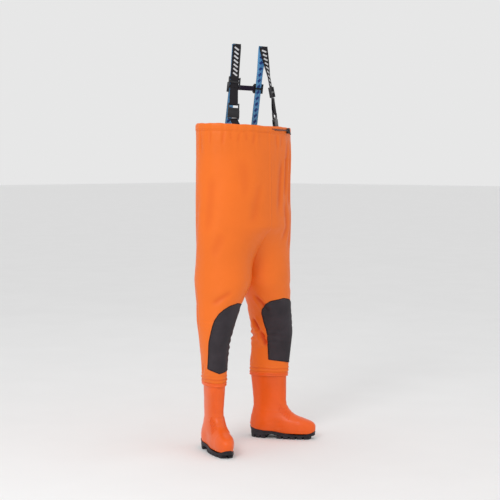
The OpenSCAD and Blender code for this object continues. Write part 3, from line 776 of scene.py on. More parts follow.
LEG_FOLDS = {
    "right": [
        (40, 760, 32, 520, 4, 14), (84, 800, 64, 560, 3, 16), (-70, 735, -20, 668, 4, 14),
        (150, 660, 110, 540, 6, 13), (168, 560, 100, 505, 7, 10), (160, 505, 96, 470, 6, 9),
        (-176, 700, -120, 640, 5, 12), (14, 400, 34, 345, 3, 10),
    ],
    "left": [
        (-172, 696, -140, 600, 9, 11), (159, 578, 182, 510, 11, 12), (180, 520, 206, 436, 12, 12),
        (-60, 742, -10, 690, 4, 16), (30, 760, 36, 540, 3, 16), (140, 650, 96, 560, 6, 13),
        (160, 500, 100, 470, 6, 10), (120, 430, 150, 350, 5, 14), (-100, 372, -60, 348, 3, 8),
    ],
}


# About how many millimetres one degree round the bib or round a leg comes to.
BIB_DEGREE, LEG_DEGREE = 3.7, 1.75


def fold_field(u, h, folds, scale, round_leg=False):
    """The depth of soft folds: a valley with a low ridge along each of its sides."""
    total = np.zeros(np.broadcast(u, h).shape)
    for u0, h0, u1, h1, depth, width in folds:
        dx, dy = (u1 - u0) * scale, h1 - h0
        du = u - u0
        if round_leg:
            du = degrees_from(0, du)
        du = du * scale
        t = np.clip((du * dx + (h - h0) * dy) / (dx * dx + dy * dy), 0, 1)
        away = np.hypot(du - t * dx, (h - h0) - t * dy)
        fade = ease(t, 0.0, 0.25) * (1 - ease(t, 0.7, 1.0))
        total += fade * depth * (
            0.42 * np.exp(-(((away - 1.8 * width) / width) ** 2)) - np.exp(-((away / width) ** 2))
        )
    return total


def gather(angle, h):
    """The drawcord pulls the rim into small gathers, which die out down the bib."""
    a = np.radians(angle)
    waves = (
        np.sin(34 * a + 2.2 * np.sin(3 * a)) + 0.6 * np.sin(57 * a + 1.3) + 0.4 * np.sin(21 * a + 4)
    )
    near_lock = 1 - 0.75 * hump(degrees_from(-72, angle), 0, 26)
    return 0.75 * waves * near_lock * ease(h, 1290, HEM_BOTTOM_H)


# The fabric slumps in rolls above the boot, and is creased behind and over the knee.
SLUMP_H, ROLL_PITCH = 327, 17
KNEE_H, KNEE_PITCH = 485, 31
KNEE_CREASES = [(538, 0.05), (561, -0.07), (574, 0.11), (598, 0.04)]  # height, lean
# The patches inside the bib: their middle in degrees from the side, their bottom and top.
INNER_PATCHES = [(-56, 1340, 1425), (67, 1250, 1325)]


def relief(side_name, v, h):
    """How far the fabric stands out of its smooth shape, and how deep in a fold it lies, which sets
    the painted shade there.
    """
    side = SIDES[side_name]
    v, h = np.broadcast_arrays(np.asarray(v, float), np.asarray(h, float))
    place = half_point(side, v, h)
    legs = 1 - ease(h, 690, 800)
    bib = fold_field(180 * v, h, BIB_FOLDS[side_name], BIB_DEGREE) * (1 - legs)
    leg = fold_field(360 * v - 180, h, LEG_FOLDS[side_name], LEG_DEGREE, True) * legs
    folded = bib + leg
    long_way = place * (1, 1, 0.45)
    soft = 3.2 * cloud(long_way, 120, 1) + 1.1 * cloud(long_way, 42, 2) + 0.35 * cloud(place, 18, 3)
    soft = soft * mix(0.7, 1, ease(h, 640, 900)) * (1 - 0.8 * ease(h, 1390, HEM_BOTTOM_H))
    slump = hump(h, SLUMP_H, 19)
    rolls = np.sin(2 * math.pi * h / ROLL_PITCH + 2.4 * cloud(place, 60, 4) + 0.02 * (360 * v))
    soft = soft * (1 - slump) + slump * (2.4 + 2.3 * rolls)
    knee = hump(h, KNEE_H, 60) * ease(np.abs(360 * v - 180), 60, 150)
    soft = soft + knee * 2.6 * np.sin(2 * math.pi * h / KNEE_PITCH + 2 * cloud(place, 70, 5))
    ahead = hump(degrees_from(-42, 360 * v - 180), 0, 62)
    for crease, slope in KNEE_CREASES:
        lean = slope * (360 * v - 140) + 5 * cloud(place, 50, 6)
        soft = soft - 1.7 * ahead * hump(h - lean, crease, 3.6)
    angle = np.where(side > 0, 180 * v - 90, 270 - 180 * v)
    out = folded + soft + gather(angle, h)
    # The fabric lies smooth over the patches that are welded to its inner side.
    for middle, low, high in INNER_PATCHES:
        near = hump(180 * v - 90, middle, 16, 4)
        near = near * ease(h, low - 24, low - 8) * (1 - ease(h, high + 8, high + 24))
        out = mix(out, np.maximum(out, 0.3), near)
    middle = ease(np.minimum(v, 1 - v), 0, 0.05)
    out = out * mix(1, middle, ease(h, 700, FORK_H))
    out = out - 0.9 * ease(h, HEM_BOTTOM_H - 14, HEM_BOTTOM_H)
    out = out * ease(h, SHIN_BOTTOM_H, SHIN_BOTTOM_H + 14)
    # Painted shade: this depth, in the folds' valleys and between the rolls above the boot, darkens
    # the fabric's colour.
    depth = np.clip(-folded / 9, 0, 1) * 0.6 + slump * np.clip(-rolls, 0, 1) * 0.4
    return out, depth


def rows_of(low, high, step):
    count = max(2, round((high - low) / step))
    inner = np.linspace(low, high, count + 1)
    return np.concatenate([[low, low + 0.4], inner[1:-1], [high - 0.4, high]])


def size_property(name, description, default, **limits):
    return bpy.props.FloatProperty(
        name=name, description=description, default=default, unit="LENGTH", **limits)


def colour_property(name, description, default):
    return bpy.props.FloatVectorProperty(
        name=name, description=description, default=default, subtype="COLOR")


class WaderSizes(bpy.types.PropertyGroup):
    fabric: size_property("Fabric", "Thickness of the coated fabric", 0.0014, min=0.0005)
    patch: size_property("Patch", "Thickness of the knee patches", 0.0016)
    webbing_width: size_property("Webbing width", "Width of the braces", 0.040)
    webbing_thickness: size_property("Webbing thickness", "Thickness of the braces", 0.002)
    cross_width: size_property("Cross strap", "Width of the strap between the braces", 0.022)
    drawcord: size_property("Drawcord", "Diameter of the drawcord", 0.003)
    stitch: size_property("Stitch", "Length of a stitch", 0.0034)
    fabric_step: size_property(
        "Fabric detail", "Distance between the fabric's rows", 0.006, min=0.003)


class WaderColours(bpy.types.PropertyGroup):
    fabric: colour_property("Fabric", "Colour of the coated fabric", (0.90, 0.175, 0.014))
    # The fold shade colour is painted shade deep in the fabric's folds.
    fabric_fold_shade: colour_property("Folds", "Colour deep in the fabric's folds", (0.58, 0.030, 0.002))
    lining: colour_property("Lining", "Colour of the fabric's inner side", (0.62, 0.25, 0.12))
    patch: colour_property("Knee patch", "Colour of the knee patches", (0.029, 0.023, 0.028))
    boot: colour_property("Boot", "Colour of the boots", (0.90, 0.122, 0.008))
    sole: colour_property("Sole", "Colour of the outsoles", (0.018, 0.016, 0.020))
    webbing_outside: colour_property(
        "Webbing outside", "Colour of the braces' outer face", (0.022, 0.020, 0.024))
    webbing_inside: colour_property(
        "Webbing inside", "Colour of the braces' inner face", (0.17, 0.45, 0.78))
    inside_marks: colour_property(
        "Inner marks", "Colour of the bars on the inner face", (0.035, 0.075, 0.30))
    outside_marks: colour_property(
        "Outer marks", "Colour of the bars on the outer face", (0.62, 0.62, 0.64))
    cross_strap: colour_property(
        "Cross strap", "Colour of the strap between the braces", (0.022, 0.012, 0.032))
    plastic: colour_property("Plastic", "Colour of the moulded plastic", (0.014, 0.014, 0.016))
    cord: colour_property("Cord", "Colour of the drawcord", (0.04, 0.02, 0.022))


def sizes():
    return bpy.context.scene.wader_sizes


def colours():
    return bpy.context.scene.wader_colours


class WADERS_OT_stage(bpy.types.Operator):
    """Makes the floor, the lights and the camera"""

    bl_idname = "waders.stage"
    bl_label = "Stage"

    FLOOR_HALF = 60.0
    VIEW_TURN, VIEW_DIP = 47.0, 3.8
    VIEW_DISTANCE, VIEW_SHIFT, VIEW_HEIGHT = 6.0, 0.028, 1.3
    LENS, SENSOR = 93.74, 36.0
    SKY_STRENGTH = 0.8
    LIGHTS_AIM = (0, 0, -0.9)
    # name, place, size and power
    LIGHTS = (
        ("key", (-3.8, -1.4, 1.4), 1.2, 58.0), ("fill", (0.8, -4.2, 0.4), 3.0, 3.0),
        ("back", (2.4, 3.2, 1.4), 2.6, 3.0), ("top", (0.0, -0.3, 2.6), 2.6, 6.0),
    )

    def execute(self, context):
        scene = context.scene
        ground = -SHOULDER_H * MM
        e = self.FLOOR_HALF
        corners = [(-e, -e, ground), (e, -e, ground), (e, e, ground), (-e, e, ground)]
        floor = new_object("floor", mesh_from("floor", corners, [(0, 1, 2, 3)]))
        material, tree, shader = plain_material("floor_paper", 0.9)
        speckle = lumps(tree, object_place(tree), 3.0, 2.0)
        paint(tree, shader, between(tree, speckle, (0.86, 0.86, 0.86), (0.9, 0.9, 0.9)))
        floor.data.materials.append(material)
        world = bpy.data.worlds.new("studio")
        world.use_nodes = True
        sky = world.node_tree.nodes["Background"]
        sky.inputs["Color"].default_value = (1.0, 1.0, 1.0, 1)
        sky.inputs["Strength"].default_value = self.SKY_STRENGTH
        scene.world = world
        scene.view_settings.view_transform = "Standard"
        for name, place, size, power in self.LIGHTS:
            lamp = bpy.data.lights.new(name, "AREA")
            lamp.size = size
            lamp.energy = power
            obj = bpy.data.objects.new(name, lamp)
            obj.location = place
            aim = Vector(self.LIGHTS_AIM) - Vector(place)
            obj.rotation_euler = aim.to_track_quat("-Z", "Y").to_euler()
            scene.collection.objects.link(obj)
        turn, dip = math.radians(self.VIEW_TURN), math.radians(self.VIEW_DIP)
        look = Vector((math.sin(turn), math.cos(turn), 0))
        right = Vector((math.cos(turn), -math.sin(turn), 0))
        lens = bpy.data.cameras.new("camera")
        lens.lens, lens.sensor_width = self.LENS, self.SENSOR
        camera = bpy.data.objects.new("camera", lens)
        camera.location = -self.VIEW_DISTANCE * look + self.VIEW_SHIFT * right
        camera.location.z = ground + self.VIEW_HEIGHT
        forward = look * math.cos(dip) - Vector((0, 0, math.sin(dip)))
        camera.rotation_euler = forward.to_track_quat("-Z", "Y").to_euler()
        scene.collection.objects.link(camera)
        scene.camera = camera
        return {"FINISHED"}


# ---- The drawcord's route ----

CORD_H, CORD_SPREAD = 1450, 1.7
LOCK_ANGLE, LOCK_OUT = 59, 8.8
LOCK_MID = bib_point(-LOCK_ANGLE, CORD_H, -LOCK_OUT)
LOCK_SIDE = unit(np.array([
    (lookup(CORD_H, BIB_HALF_WIDTH) + LOCK_OUT) * math.sin(math.radians(LOCK_ANGLE)),
    (lookup(CORD_H, BIB_HALF_DEPTH) + LOCK_OUT) * math.cos(math.radians(LOCK_ANGLE)), 0.0]))
# Points as (degrees, how far in from the bib's oval), and for the tails also how far down.
OUTER_STRETCH = [(-64, -9.2), (-68, -8), (-72, -6.3), (-76, -5), (-80, -4.3)]
TAIL_RUN = [(-54.4, -8.2, 1), (-51.5, -6.8, 5), (-49.2, -5.8, 10)]
KNOT = bib_point(-47.6, CORD_H - 15, -5.4)


def outside_run(h):
    """The cord in front of the hem, from the lock's far side to where it nears its eyelet."""
    rise = np.array([0, 0, h - CORD_H])
    through_lock = [LOCK_MID + LOCK_SIDE * along + rise for along in (9, 0, -11)]
    return through_lock + [bib_point(a, h, inset) for a, inset in OUTER_STRETCH]


def smooth_path(points, step=2.0):
    """A rounded path through points, with samples about step millimetres apart."""
    points = np.array(points, float)
    before = np.vstack([2 * points[0] - points[1], points, 2 * points[-1] - points[-2]])
    path = [points[0]]
    for i in range(len(points) - 1):
        a, b, c, d = before[i : i + 4]
        count = max(1, round(np.linalg.norm(c - b) / step))
        for t in np.linspace(0, 1, count + 1)[1:]:
            path.append(0.5 * ((2 * b) + (c - a) * t + (2 * a - 5 * b + 4 * c - d) * t * t
                               + (3 * b - a - 3 * c + d) * t ** 3))
    return np.array(path)


class WADERS_OT_drawcord(bpy.types.Operator):
    """Makes the drawcord round the rim, its two tails, their knot, the cord lock and the eyelets"""

    bl_idname = "waders.drawcord"
    bl_label = "Drawcord"

    # Through the eyelet into the hem, and out again after a turn round the rim.
    GOES_IN = [(-84.5, -3.8), (-86.3, -2.4), (-87.2, 1), (-88.6, 3.6)]
    COMES_OUT = [(-444.6, 3.6), (-443.2, 1), (-442.1, -2.4)]

    def execute(self, context):
        radius = sizes().drawcord / 2
        braid = braided_cord()
        knot = self.make_knot(radius, braid)
        for level, spread in (("upper", CORD_SPREAD), ("lower", -CORD_SPREAD)):
            rise = np.array([0, 0, spread])
            middle = [bib_point(a, CORD_H - drop + spread, inset) for a, inset, drop in TAIL_RUN]
            end = KNOT + unit(middle[2] - KNOT) * 3.4 + rise
            route = to_frame(smooth_path([LOCK_MID + LOCK_SIDE * 9 + rise, *middle, end]))
            obj = tube_object(f"drawcord_tail_{level}", route, radius, 12, braid)
            hand_over(obj, "bib", ["drawcord_tails"])
            length = float(np.linalg.norm(np.diff(route, axis=0), axis=1).sum())
            tuple(route[0])
        upper, lower = CORD_H + CORD_SPREAD, CORD_H - CORD_SPREAD
        route = outside_run(upper)
        route += [bib_point(a, upper, inset) for a, inset in self.GOES_IN]
        route += [bib_point(-90 - 7.5 * i, CORD_H, 4.2) for i in range(1, 47)]
        route += [bib_point(a, lower, inset) for a, inset in self.COMES_OUT]
        route += outside_run(lower)[::-1]
        cord = tube_object("drawcord_loop", to_frame(smooth_path(route, 5.0)), radius, 10, braid)
        hand_over(cord, "bib", ["drawcord"])
        plastic = moulded_plastic()
        for node, name, body in (
            ("cord_lock_body", "cord_lock_shell", "cord_lock"),
            ("cord_lock_button", "cord_lock_plunger", "cord_lock_button"),
            ("eyelets", "eyelet_rings", "bib"),
        ):
            obj = finished_copy(node, name, 0.0006, plastic)
            hand_over(obj, body)
        self.spring()
        return {"FINISHED"}

    def spring(self):
        """The coil under the lock's plunger."""
        low, high = (np.array(corner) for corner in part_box("cord_lock_spring"))
        wire, turns, travel = 0.0004, 6.5, 0.003
        mid, reach = (low + high) / 2, (high[0] - low[0]) / 2 - wire
        a = np.linspace(0, turns * 2 * math.pi, 240)
        rise = low[2] + wire + (high[2] - low[2] - 2 * wire) * ease(a / a[-1], 0.0, 1.0)
        path = np.stack([mid[0] + reach * np.cos(a), mid[1] + reach * np.sin(a), rise], -1)
        coil = tube_object("cord_lock_coil", path, wire, 8, bright_steel())
        hand_over(coil, "cord_lock", ["cord_lock_spring"])
        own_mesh(coil)

    def make_knot(self, radius, braid):
        """An overhand knot: a trefoil of the cord itself, pulled tight."""
        t = np.linspace(0, 2 * math.pi, 72, endpoint=False)
        x, y = np.sin(t) + 2 * np.sin(2 * t), np.cos(t) - 2 * np.cos(2 * t)
        path = to_frame(KNOT + np.stack([x, y, -1.3 * np.sin(3 * t)], -1) * 0.82)
        knot = tube_object("drawcord_knot_tied", path, radius * 0.85, 10, braid, closed=True)
        return hand_over(knot, "bib", ["drawcord_knot"])


class WADERS_OT_fabric(bpy.types.Operator):
    """Makes the two halves of the bib and thighs, the lower legs and the welded middle seam"""

    bl_idname = "waders.fabric"
    bl_label = "Bib and legs"

    COLUMNS = 132
    HIP_START, HIP_END = (0.0, 0.0, 665), (63.6, 0.0, 575)
    KNEE_START, KNEE_END = (0.0, 0.0, 600), (0.0, 0.0, 400)
    # The welded seam in section: across from the middle, and how far it stands proud.
    SEAM = [(-5.5, -0.4), (-5, 0.35), (-2.4, 0.55), (0, 0.6), (2.4, 0.55), (5, 0.35), (5.5, -0.4)]

    def execute(self, context):
        step = sizes().fabric_step / MM
        v = np.linspace(0, 1, self.COLUMNS + 1)
        v = np.concatenate([[0, 0.0012], v[1:-1], [0.9988, 1]])
        materials = [coated_fabric(), lining_fabric()]
        for name, side in SIDES.items():
            h = rows_of(CUT_H, HEM_BOTTOM_H + 2, step)
            out, depth = relief(name, v[None, :], h[:, None])
            grid = half_point(side, v[None, :], h[:, None], out)
            closed = h < FORK_H
            middle = (grid[closed, 0] + grid[closed, -1]) / 2
            grid[closed, 0] = grid[closed, -1] = middle
            half = self.shell(f"{name}_half", grid, depth, False, side < 0, materials)
            hip = (self.HIP_START, self.HIP_END)
            start, end = (to_frame((side * x, y, h)) for x, y, h in hip)
            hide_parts(f"{name}_body_panel", f"{name}_seat_panel", f"{name}_thigh_panel")
            tuple(start)
            tuple(end)
            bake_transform(half)
            h = rows_of(SHIN_BOTTOM_H, CUT_H, step * 0.7)
            out, depth = relief(name, v[None, :-1], h[:, None])
            grid = half_point(side, v[None, :-1], h[:, None], out)
            lower = self.shell(f"{name}_lower_leg", grid, depth, True, side < 0, materials)
            start, end = to_frame(self.KNEE_START), to_frame(self.KNEE_END)
            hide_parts(f"{name}_knee_panel", f"{name}_shin_panel")
            tuple(start)
            tuple(end)
            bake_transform(lower)
        self.middle_seam(materials[0])
        return {"FINISHED"}

    def shell(self, name, grid, depth, closed, flip, materials):
        """A sheet with its folds' depth stored on it for the painted shade in its folds, orange
        outside and lined inside.
        """
        rows, columns = grid.shape[:2]
        obj = surface(name, grid, grid_faces(rows, columns, closed=closed, flip=flip), materials)
        store(obj.data, "fold", depth)
        weld(obj, 4e-6)
        return give_wall(obj, sizes().fabric, inner_material=1)

    def middle_seam(self, material):
        """A low welded strip down the middle of the front and of the back."""
        parts = []
        for v, low in ((0.0, 905), (1.0, 880)):
            h = np.arange(low, HEM_BOTTOM_H, 8.0)
            middle = half_point(1, np.full(len(h), v), h)
            out = -1 if v == 0 else 1
            rows = []
            for x, proud in self.SEAM:
                row = middle.copy()
                row[:, 0] = x
                row[:, 1] += out * (proud - 0.001 * x * x)
                rows.append(row)
            points = to_frame(np.stack(rows, axis=1)).reshape(-1, 3)
            parts.append((points, grid_faces(len(h), len(self.SEAM), flip=v > 0.5), 0, None))
        seam = join("middle_seams", parts, [material])
        give_wall(seam, 0.0008)
        hand_over(seam, "bib")


class WADERS_OT_hem(bpy.types.Operator):
    """Makes the folded hem with the drawcord's tunnel, and its line of stitches"""

    bl_idname = "waders.hem"
    bl_label = "Hem"

    COLUMNS = 320
    # The folded strip in section: how far in from the bib's oval, and height.
    SECTION = [
        (-0.3, 1434.5), (-0.8, 1440), (-1.1, 1447), (-1.1, 1453), (-0.8, 1458), (0.4, 1462.4),
        (2.4, 1464.7), (4.8, 1465), (7.0, 1463.2), (8.3, 1459), (8.7, 1450), (8.6, 1441),
        (8.2, 1436.5), (6.9, 1436.5), (6.9, 1446), (6.4, 1456), (4.2, 1460.4), (2.0, 1457),
        (0.9, 1447), (1.2, 1434.5)]
    STITCH_H = 1441.0

    def execute(self, context):
        angle = np.linspace(0, 360, self.COLUMNS, endpoint=False)
        shift = gather(angle, HEM_BOTTOM_H)
        wave = 0.9 * np.sin(np.radians(9 * angle + 40)) + 0.6 * np.sin(np.radians(23 * angle))
        rows = []
        for inset, h in self.SECTION:
            ring = bib_point(angle, np.full(len(angle), float(h)), inset - shift)
            ring[:, 2] += wave * ease(h, HEM_BOTTOM_H, RIM_H)
            rows.append(ring)
        faces = grid_faces(len(rows), self.COLUMNS, closed=True, ring=True)
        hem = surface("folded_hem", np.stack(rows), faces, [coated_fabric()])
        store(hem.data, "fold", np.zeros(len(hem.data.vertices)))
        smooth = hem.modifiers.new("soft edges", "SUBSURF")
        smooth.levels = smooth.render_levels = 1
        settle(hem)
        faces_out(hem)
        hand_over(hem, "bib", ["hem_band"])
        angle = np.linspace(0, 360, 721)
        under_lock = hump(degrees_from(-LOCK_ANGLE, angle), 0, 10, 4)
        inset = 0.9 * under_lock - 0.95 - gather(angle, HEM_BOTTOM_H)
        line = bib_point(angle, np.full(len(angle), self.STITCH_H), inset)
        a = np.radians(angle)
        facing = np.stack([np.cos(a), np.sin(a) * 1.6, 0 * a], -1)
        thread = printed_ink("orange_thread", (0.62, 0.10, 0.012))
        size = (sizes().stitch, 0.0007, 0.0005)
        stitches = row_of_marks(
            "hem_stitches", [to_frame(line)], [unit(facing)], "STITCH", 0.0052, size, thread)
        hand_over(stitches, "bib")
        return {"FINISHED"}


class WADERS_OT_knee_patches(bpy.types.Operator):
    """Makes the knee patches, their piping and their stitches"""

    bl_idname = "waders.knee_patches"
    bl_label = "Knee patches"

    # Degrees round the leg from the toes' direction, the wearer's middle negative.
    INNER_EDGE = [
        (361, 2), (379, -86), (450, -91), (560, -95), (600, -93), (622, -86), (645, -74),
        (662, -56), (673, -20)]
    OUTER_EDGE = [
        (361, 6), (379, 58), (450, 50), (570, 40), (600, 37), (630, 29), (650, 18), (665, 4),
        (673, -18)]
    MIDDLE_DEGREE, MIDDLE_H = -24, 520
    # Two rows of stitches, as the share of the way out to the edge.
    STITCH_ROWS = (0.955, 0.915)
    COLUMNS = 40

    def point(self, name, t, h, lift):
        """A point on a leg at t degrees from the toes' direction, lifted off the fabric."""
        turn = smooth_lookup(h, LEG_TURN)
        v = ((turn + t + 180) % 360) / 360
        out, _ = relief(name, v, h)
        return half_point(SIDES[name], v, h, out + lift)

    def execute(self, context):
        cloth, piping_cloth = patch_fabric(), printed_ink("piping", (0.012, 0.011, 0.013))
        thread = printed_ink("patch_thread", (0.10, 0.095, 0.10))
        for name, side in SIDES.items():
            runs = ((361, 379, 7), (384, 600, 44), (605, 673, 24))
            h = np.concatenate([np.linspace(*run) for run in runs])
            share = np.linspace(0, 1, self.COLUMNS)
            inner, outer = lookup(h, self.INNER_EDGE)[:, None], lookup(h, self.OUTER_EDGE)[:, None]
            t = inner + (outer - inner) * share[None, :]
            hh = np.broadcast_to(h[:, None], t.shape)
            crown = 0.9 * np.minimum(1, 6 * np.minimum(share, 1 - share))[None, :]
            grid = self.point(name, t, hh, 0.9 + crown)
            uvs = np.stack([np.radians(t) * 0.08, hh * MM], axis=-1).reshape(-1, 2)
            faces = grid_faces(*t.shape, flip=side < 0)
            patch = surface(f"{name}_knee_pad", grid, faces, [cloth], uvs)
            give_wall(patch, sizes().patch)
            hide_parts(f"{name}_knee_patch")
            self.bend(patch, name)
            loop_t = np.concatenate([inner[:, 0], outer[::-1, 0]])
            loop_h = np.concatenate([h, h[::-1]])
            loop = smooth_loop(self.point(name, loop_t, loop_h, 1.5), 4.0)
            piping = tube_object(
                f"{name}_patch_piping", to_frame(loop), 0.0015, 8, piping_cloth, closed=True)
            self.bend(piping, name)
            lines, facings = [], []
            for inset in self.STITCH_ROWS:
                t_in = self.MIDDLE_DEGREE + (loop_t - self.MIDDLE_DEGREE) * inset
                h_in = self.MIDDLE_H + (loop_h - self.MIDDLE_H) * (1 - (1 - inset) * 0.45)
                line = self.point(name, t_in, h_in, 2.0)
                higher = self.point(name, t_in, h_in, 4.0)
                lines.append(to_frame(line))
                facings.append(unit(higher - line))
            size = (sizes().stitch, 0.0008, 0.0006)
            stitches = row_of_marks(
                f"{name}_patch_stitches", lines, facings, "STITCH", 0.0055, size, thread)
            self.bend(stitches, name)
        return {"FINISHED"}

    def bend(self, obj, name):
        """Bakes a piece's transform into its mesh."""
        start, end = to_frame(WADERS_OT_fabric.KNEE_START), to_frame(WADERS_OT_fabric.KNEE_END)
        tuple(start)
        tuple(end)
        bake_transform(obj)


def smooth_loop(points, step):
    """A closed path resampled evenly."""
    points = np.vstack([points, points[:1]])
    lengths = np.concatenate([[0], np.cumsum(np.linalg.norm(np.diff(points, axis=0), axis=1))])
    keep = np.concatenate([[True], np.diff(lengths) > 1e-6])
    points, lengths = points[keep], lengths[keep]
    count = max(8, int(lengths[-1] / step))
    along = np.linspace(0, lengths[-1], count, endpoint=False)
    return np.stack([np.interp(along, lengths, points[:, i]) for i in range(3)], axis=-1)


# ---- The boots ----

# By height: the ankle's place, and how far the boot reaches in front, behind and to its side.
BOOT_X = [(190, 190), (306, 185)]
BOOT_Y = [(190, 11), (306, 13)]
BOOT_FRONT = [
    (28, 217), (45, 222), (65, 221), (78, 211), (88, 188), (100, 150), (112, 122), (130, 100),
    (155, 84), (180, 79), (306, 86)]
BOOT_BACK = [(28, 85), (45, 91), (70, 93), (100, 89), (150, 78), (180, 79), (306, 86)]
BOOT_HALF_WIDTH = [
    (28, 48), (45, 52), (65, 52), (85, 49), (100, 45), (120, 41), (150, 37), (180, 37), (306, 43)]
SOLE_OUT = [(0, 4.5), (24, 4.5), (44, 2.2), (60, 1.8)]
# By distance towards the toes: the heights of the sole's upper edge and of its underside.
SOLE_TOP = [
    (-92, 56), (-82, 48), (-60, 42), (-20, 37), (20, 36), (60, 31), (100, 25), (140, 21),
    (172, 21), (200, 27), (226, 40)]
SOLE_UNDER = [(-92, 12), (-14, 12), (0, 17), (24, 21), (44, 17), (58, 12), (196, 12), (226, 19)]


def foot_local(angle, h, out=0.0):
    """A point round the foot at one height: along towards the toes, and across."""
    a = np.radians(angle)
    h = np.asarray(h, float)
    u = np.sign(np.cos(a)) * np.abs(np.cos(a)) ** 0.9
    v = np.sign(np.sin(a)) * np.abs(np.sin(a)) ** 0.85
    front, back = smooth_lookup(h, BOOT_FRONT, 5), smooth_lookup(h, BOOT_BACK, 6)
    half = smooth_lookup(h, BOOT_HALF_WIDTH, 6)
    x = (np.where(u > 0, front, back) + out) * u
    waist = 1 - 0.10 * hump(x, 42, 38) * (1 - ease(h, 70, 105))
    y = (half * waist + out) * v * (1 + 0.06 * u)
    return x, y


def foot_place(side, x, y, h):
    """From along and across the foot to the ground's axes, on one side."""
    turn = math.radians(TOE_OUT - 90)
    h = np.asarray(h, float)
    place_x = lookup(h, BOOT_X) + x * math.cos(turn) - y * math.sin(turn)
    place_y = lookup(h, BOOT_Y) + x * math.sin(turn) + y * math.cos(turn)
    return np.stack(np.broadcast_arrays(side * place_x, place_y, h), axis=-1)


def boot_relief(angle, h):
    """The moulded steps of the boot: toe cap, welt, heel counter and ankle creases."""
    x, y = foot_local(angle, h)
    low = 1 - ease(h, 112, 124)
    cap = 1.7 * ease(x, 146, 149.5) * low
    cap_lip = 0.7 * hump(x, 151, 2.2) * low
    counter = 1.0 * ease(-x, 52, 55) * (1 - ease(h, 104, 108))
    toe_swell = 1.8 * hump(x, 185, 30) * hump(h, 76, 20)
    front = hump(degrees_from(0, angle), 0, 62)
    bent = h - 0.05 * np.abs(y)
    creases = -1.5 * front * sum(hump(bent, middle, 3.2) for middle in (121, 137, 156))
    creases += 0.8 * front * hump(h, 129, 5)
    spur = 2.0 * ease(-x, 60, 84) * hump(h, 64, 4.5)
    place = np.stack(np.broadcast_arrays(x, y, h), axis=-1)
    soft = 0.9 * cloud(place, 55, 8) * ease(h, 110, 170) + 0.25 * cloud(place, 22, 9)
    return cap + cap_lip + counter + toe_swell + creases + spur + soft


def boot_point(side, angle, h, lift=0.0):
    x, y = foot_local(angle, h, boot_relief(angle, h) + lift)
    return foot_place(side, x, y, h)


